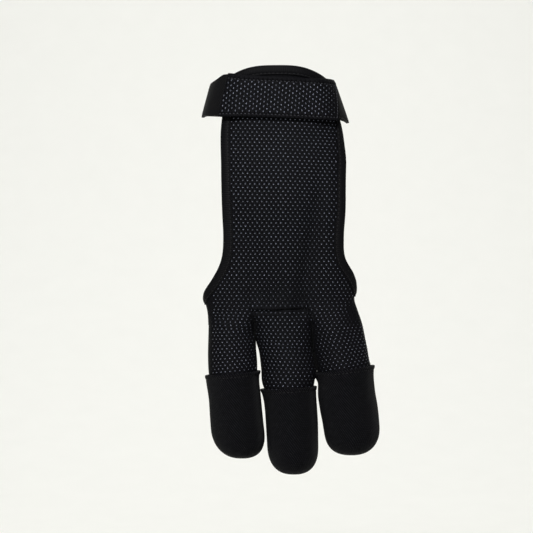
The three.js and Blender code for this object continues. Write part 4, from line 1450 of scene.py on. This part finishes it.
def make_cap(finger):
    """Hollow cap: outer wall, inner wall and the lip between them."""
    around = CAP_SIDES
    tip = -PALM_LENGTH - finger["length"]
    inner_off = CLOTH_WALL / 2 + CAP_GAP
    outer, outer_pole = cap_layer(finger, inner_off + CAP_WALL, tip, True)
    inner, inner_pole = cap_layer(finger, inner_off, tip + CAP_WALL, False)
    rings = outer.shape[0]
    layer = rings * around + 1
    points = np.concatenate([
        outer.reshape(-1, 3), outer_pole[None], inner.reshape(-1, 3), inner_pole[None],
    ])
    number = np.arange(rings * around).reshape(rings, around)
    nexts = np.roll(number, -1, 1)
    quads = np.stack([number[:-1], number[1:], nexts[1:], nexts[:-1]], -1).reshape(-1, 4)
    fan = np.stack([number[-1], np.full(around, layer - 1), nexts[-1]], -1)
    lip = np.stack([number[0], nexts[0], nexts[0] + layer, number[0] + layer], -1)
    faces = (
        quads.tolist() + (quads[:, ::-1] + layer).tolist()
        + fan.tolist() + (fan[:, ::-1] + layer).tolist() + lip.tolist()
    )
    turn = np.arange(around) * FULL_TURN / around
    below_hem = outer[len(CAP_HEM)]
    radius = np.linalg.norm(np.diff(below_hem, axis=0), axis=1).sum() / FULL_TURN
    wrap = radius * ((turn - math.pi / 2) % FULL_TURN)
    u = np.broadcast_to(wrap, (rings, around))
    uv = np.stack([u, outer[..., 2]], -1).reshape(-1, 2)
    pole_uv = np.array([[wrap.mean(), tip]])
    coords = np.concatenate([uv, pole_uv, uv, pole_uv])
    piece = make_mesh(finger["name"] + "_tip_cap", points, faces, TWILL, coords)
    close_wrap(piece, radius * FULL_TURN)
    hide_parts(finger["name"] + "_cap")
    ring = outer[HEM_SEWING_RING]
    loop = np.concatenate([ring, ring[:1]])
    normal = unit((loop - ring.mean(0)) * HEM_FACING)
    sewn = stitches(finger["name"] + "_hem_stitches", loop, normal, "cap_hem", BLACK_THREAD)


for finger in FINGERS:
    make_cap(finger)


# The tab's end hem lies this far in from its free end, between these rows of its grid
END_HEM = 1.1
END_HEM_ROWS = slice(8, -6)


def tab_sewing():
    """Overlock thread along the tab's long edges and the folded hem at its free end."""
    rows = tab_points.shape[0] - 1
    run, along = cloth_lengths(tab_points)
    height = along[-1, 0]
    for name, share in (("upper", TAB_HEMS[0] / height), ("lower", 1 - TAB_HEMS[1] / height)):
        row = int(round(share * rows))
        normal = tab_normal[row, 1:-1]
        line = tab_points[row, 1:-1] + normal * (TAB_WALL / 2 + 2 * THREAD_LIFT)
        for kind in ("overlock_a", "overlock_b"):
            sewn = stitches(f"{name}_{kind}", line, normal, kind, THREAD)
    run = run[rows // 2]
    column = int(np.interp(run[-1] - END_HEM, run, np.arange(len(run))))
    normal = tab_normal[END_HEM_ROWS, column]
    line = tab_points[END_HEM_ROWS, column] + normal * (TAB_WALL / 2 + THREAD_LIFT)
    sewn = stitches("end_hem", line, normal, "end_hem", THREAD)


tab_sewing()


# Floor, light and camera, in metres
FLOOR_LEVEL = -0.3
FLOOR_REACH = 6.0
BEND_START = 0.6
BEND_RADIUS = 0.9
SHEET_TOP = 2.6


def make_stage():
    """Pale sheet that lies flat below the glove and bends up behind it in a wide curve.

    Its profile is a straight floor, a quarter circle and a straight wall."""
    flat = np.stack([np.linspace(-FLOOR_REACH, BEND_START, 8), np.full(8, FLOOR_LEVEL)], -1)
    turn = np.linspace(0, math.pi / 2, 24)[1:]
    rise = FLOOR_LEVEL + BEND_RADIUS
    bend = np.stack([
        BEND_START + BEND_RADIUS * np.sin(turn), rise - BEND_RADIUS * np.cos(turn),
    ], -1)
    wall = np.stack([
        np.full(5, BEND_START + BEND_RADIUS), np.linspace(rise, SHEET_TOP, 6)[1:],
    ], -1)
    profile = np.concatenate([flat, bend, wall])
    sides = (-FLOOR_REACH, 0, FLOOR_REACH)
    points = [(x, y, z) for x in sides for y, z in profile.tolist()]
    number = np.arange(len(points)).reshape(len(sides), -1)
    faces = np.stack([number[:-1, :-1], number[1:, :-1], number[1:, 1:], number[:-1, 1:]], -1)
    mesh = bpy.data.meshes.new("studio_sheet")
    mesh.from_pydata(points, [], faces.reshape(-1, 4).tolist())
    mesh.polygons.foreach_set("use_smooth", np.ones(len(mesh.polygons), bool))
    sheet = bpy.data.objects.new("studio_sheet", mesh)
    bpy.context.collection.objects.link(sheet)
    # Studio paper: warm white and matte, with a faint grain
    mesh.materials.append(mottled(
        "studio_paper", 40.0, 2.0, "#f4f4f0", "#f7f7f3", Roughness=0.9, Specular_IOR_Level=0.1,
    ))


def area_light(name, place, target, size, watts):
    """White rectangular lamp whose own axes are turned so that it faces its target."""
    light = bpy.data.lights.new(name, "AREA")
    light.shape = "RECTANGLE"
    light.size, light.size_y = size
    light.energy = watts
    lamp = bpy.data.objects.new(name, light)
    bpy.context.collection.objects.link(lamp)
    place, target = np.array(place, float), np.array(target, float)
    forward = unit(target - place)
    side = unit(np.cross(forward, [0, 0, 1.0]))
    upward = np.cross(side, forward)
    rows = np.stack([side, upward, -forward, place], -1).tolist() + [[0, 0, 0, 1]]
    lamp.matrix_world = Matrix(rows)


make_stage()
area_light("key", (-0.12, -0.78, 0.5), (0, 0, -0.08), (0.3, 0.18), 15)
area_light("backdrop", (0, 0.6, 0.6), (0, 1.25, -0.15), (2.2, 0.3), 1.1)
area_light("back_fill", (0, 1.25, 1.1), (0, 0, -0.08), (1.2, 0.5), 6.4)

world = bpy.data.worlds.new("studio")
bpy.context.scene.world = world
world.use_nodes = True
background = world.node_tree.nodes["Background"]
background.inputs["Color"].default_value = (1.0, 1.0, 0.968, 1.0)
background.inputs["Strength"].default_value = 0.36

# Long lens straight in front of the glove, level with its middle
camera_data = bpy.data.cameras.new("camera")
camera_data.lens = 138.9
camera_data.sensor_width = 36
camera = bpy.data.objects.new("camera", camera_data)
camera.location = (-0.00475, -1.05, -0.08425)
camera.rotation_euler = (math.pi / 2, 0, 0)
bpy.context.collection.objects.link(camera)
bpy.context.scene.camera = camera
bpy.context.scene.view_settings.view_transform = "Standard"
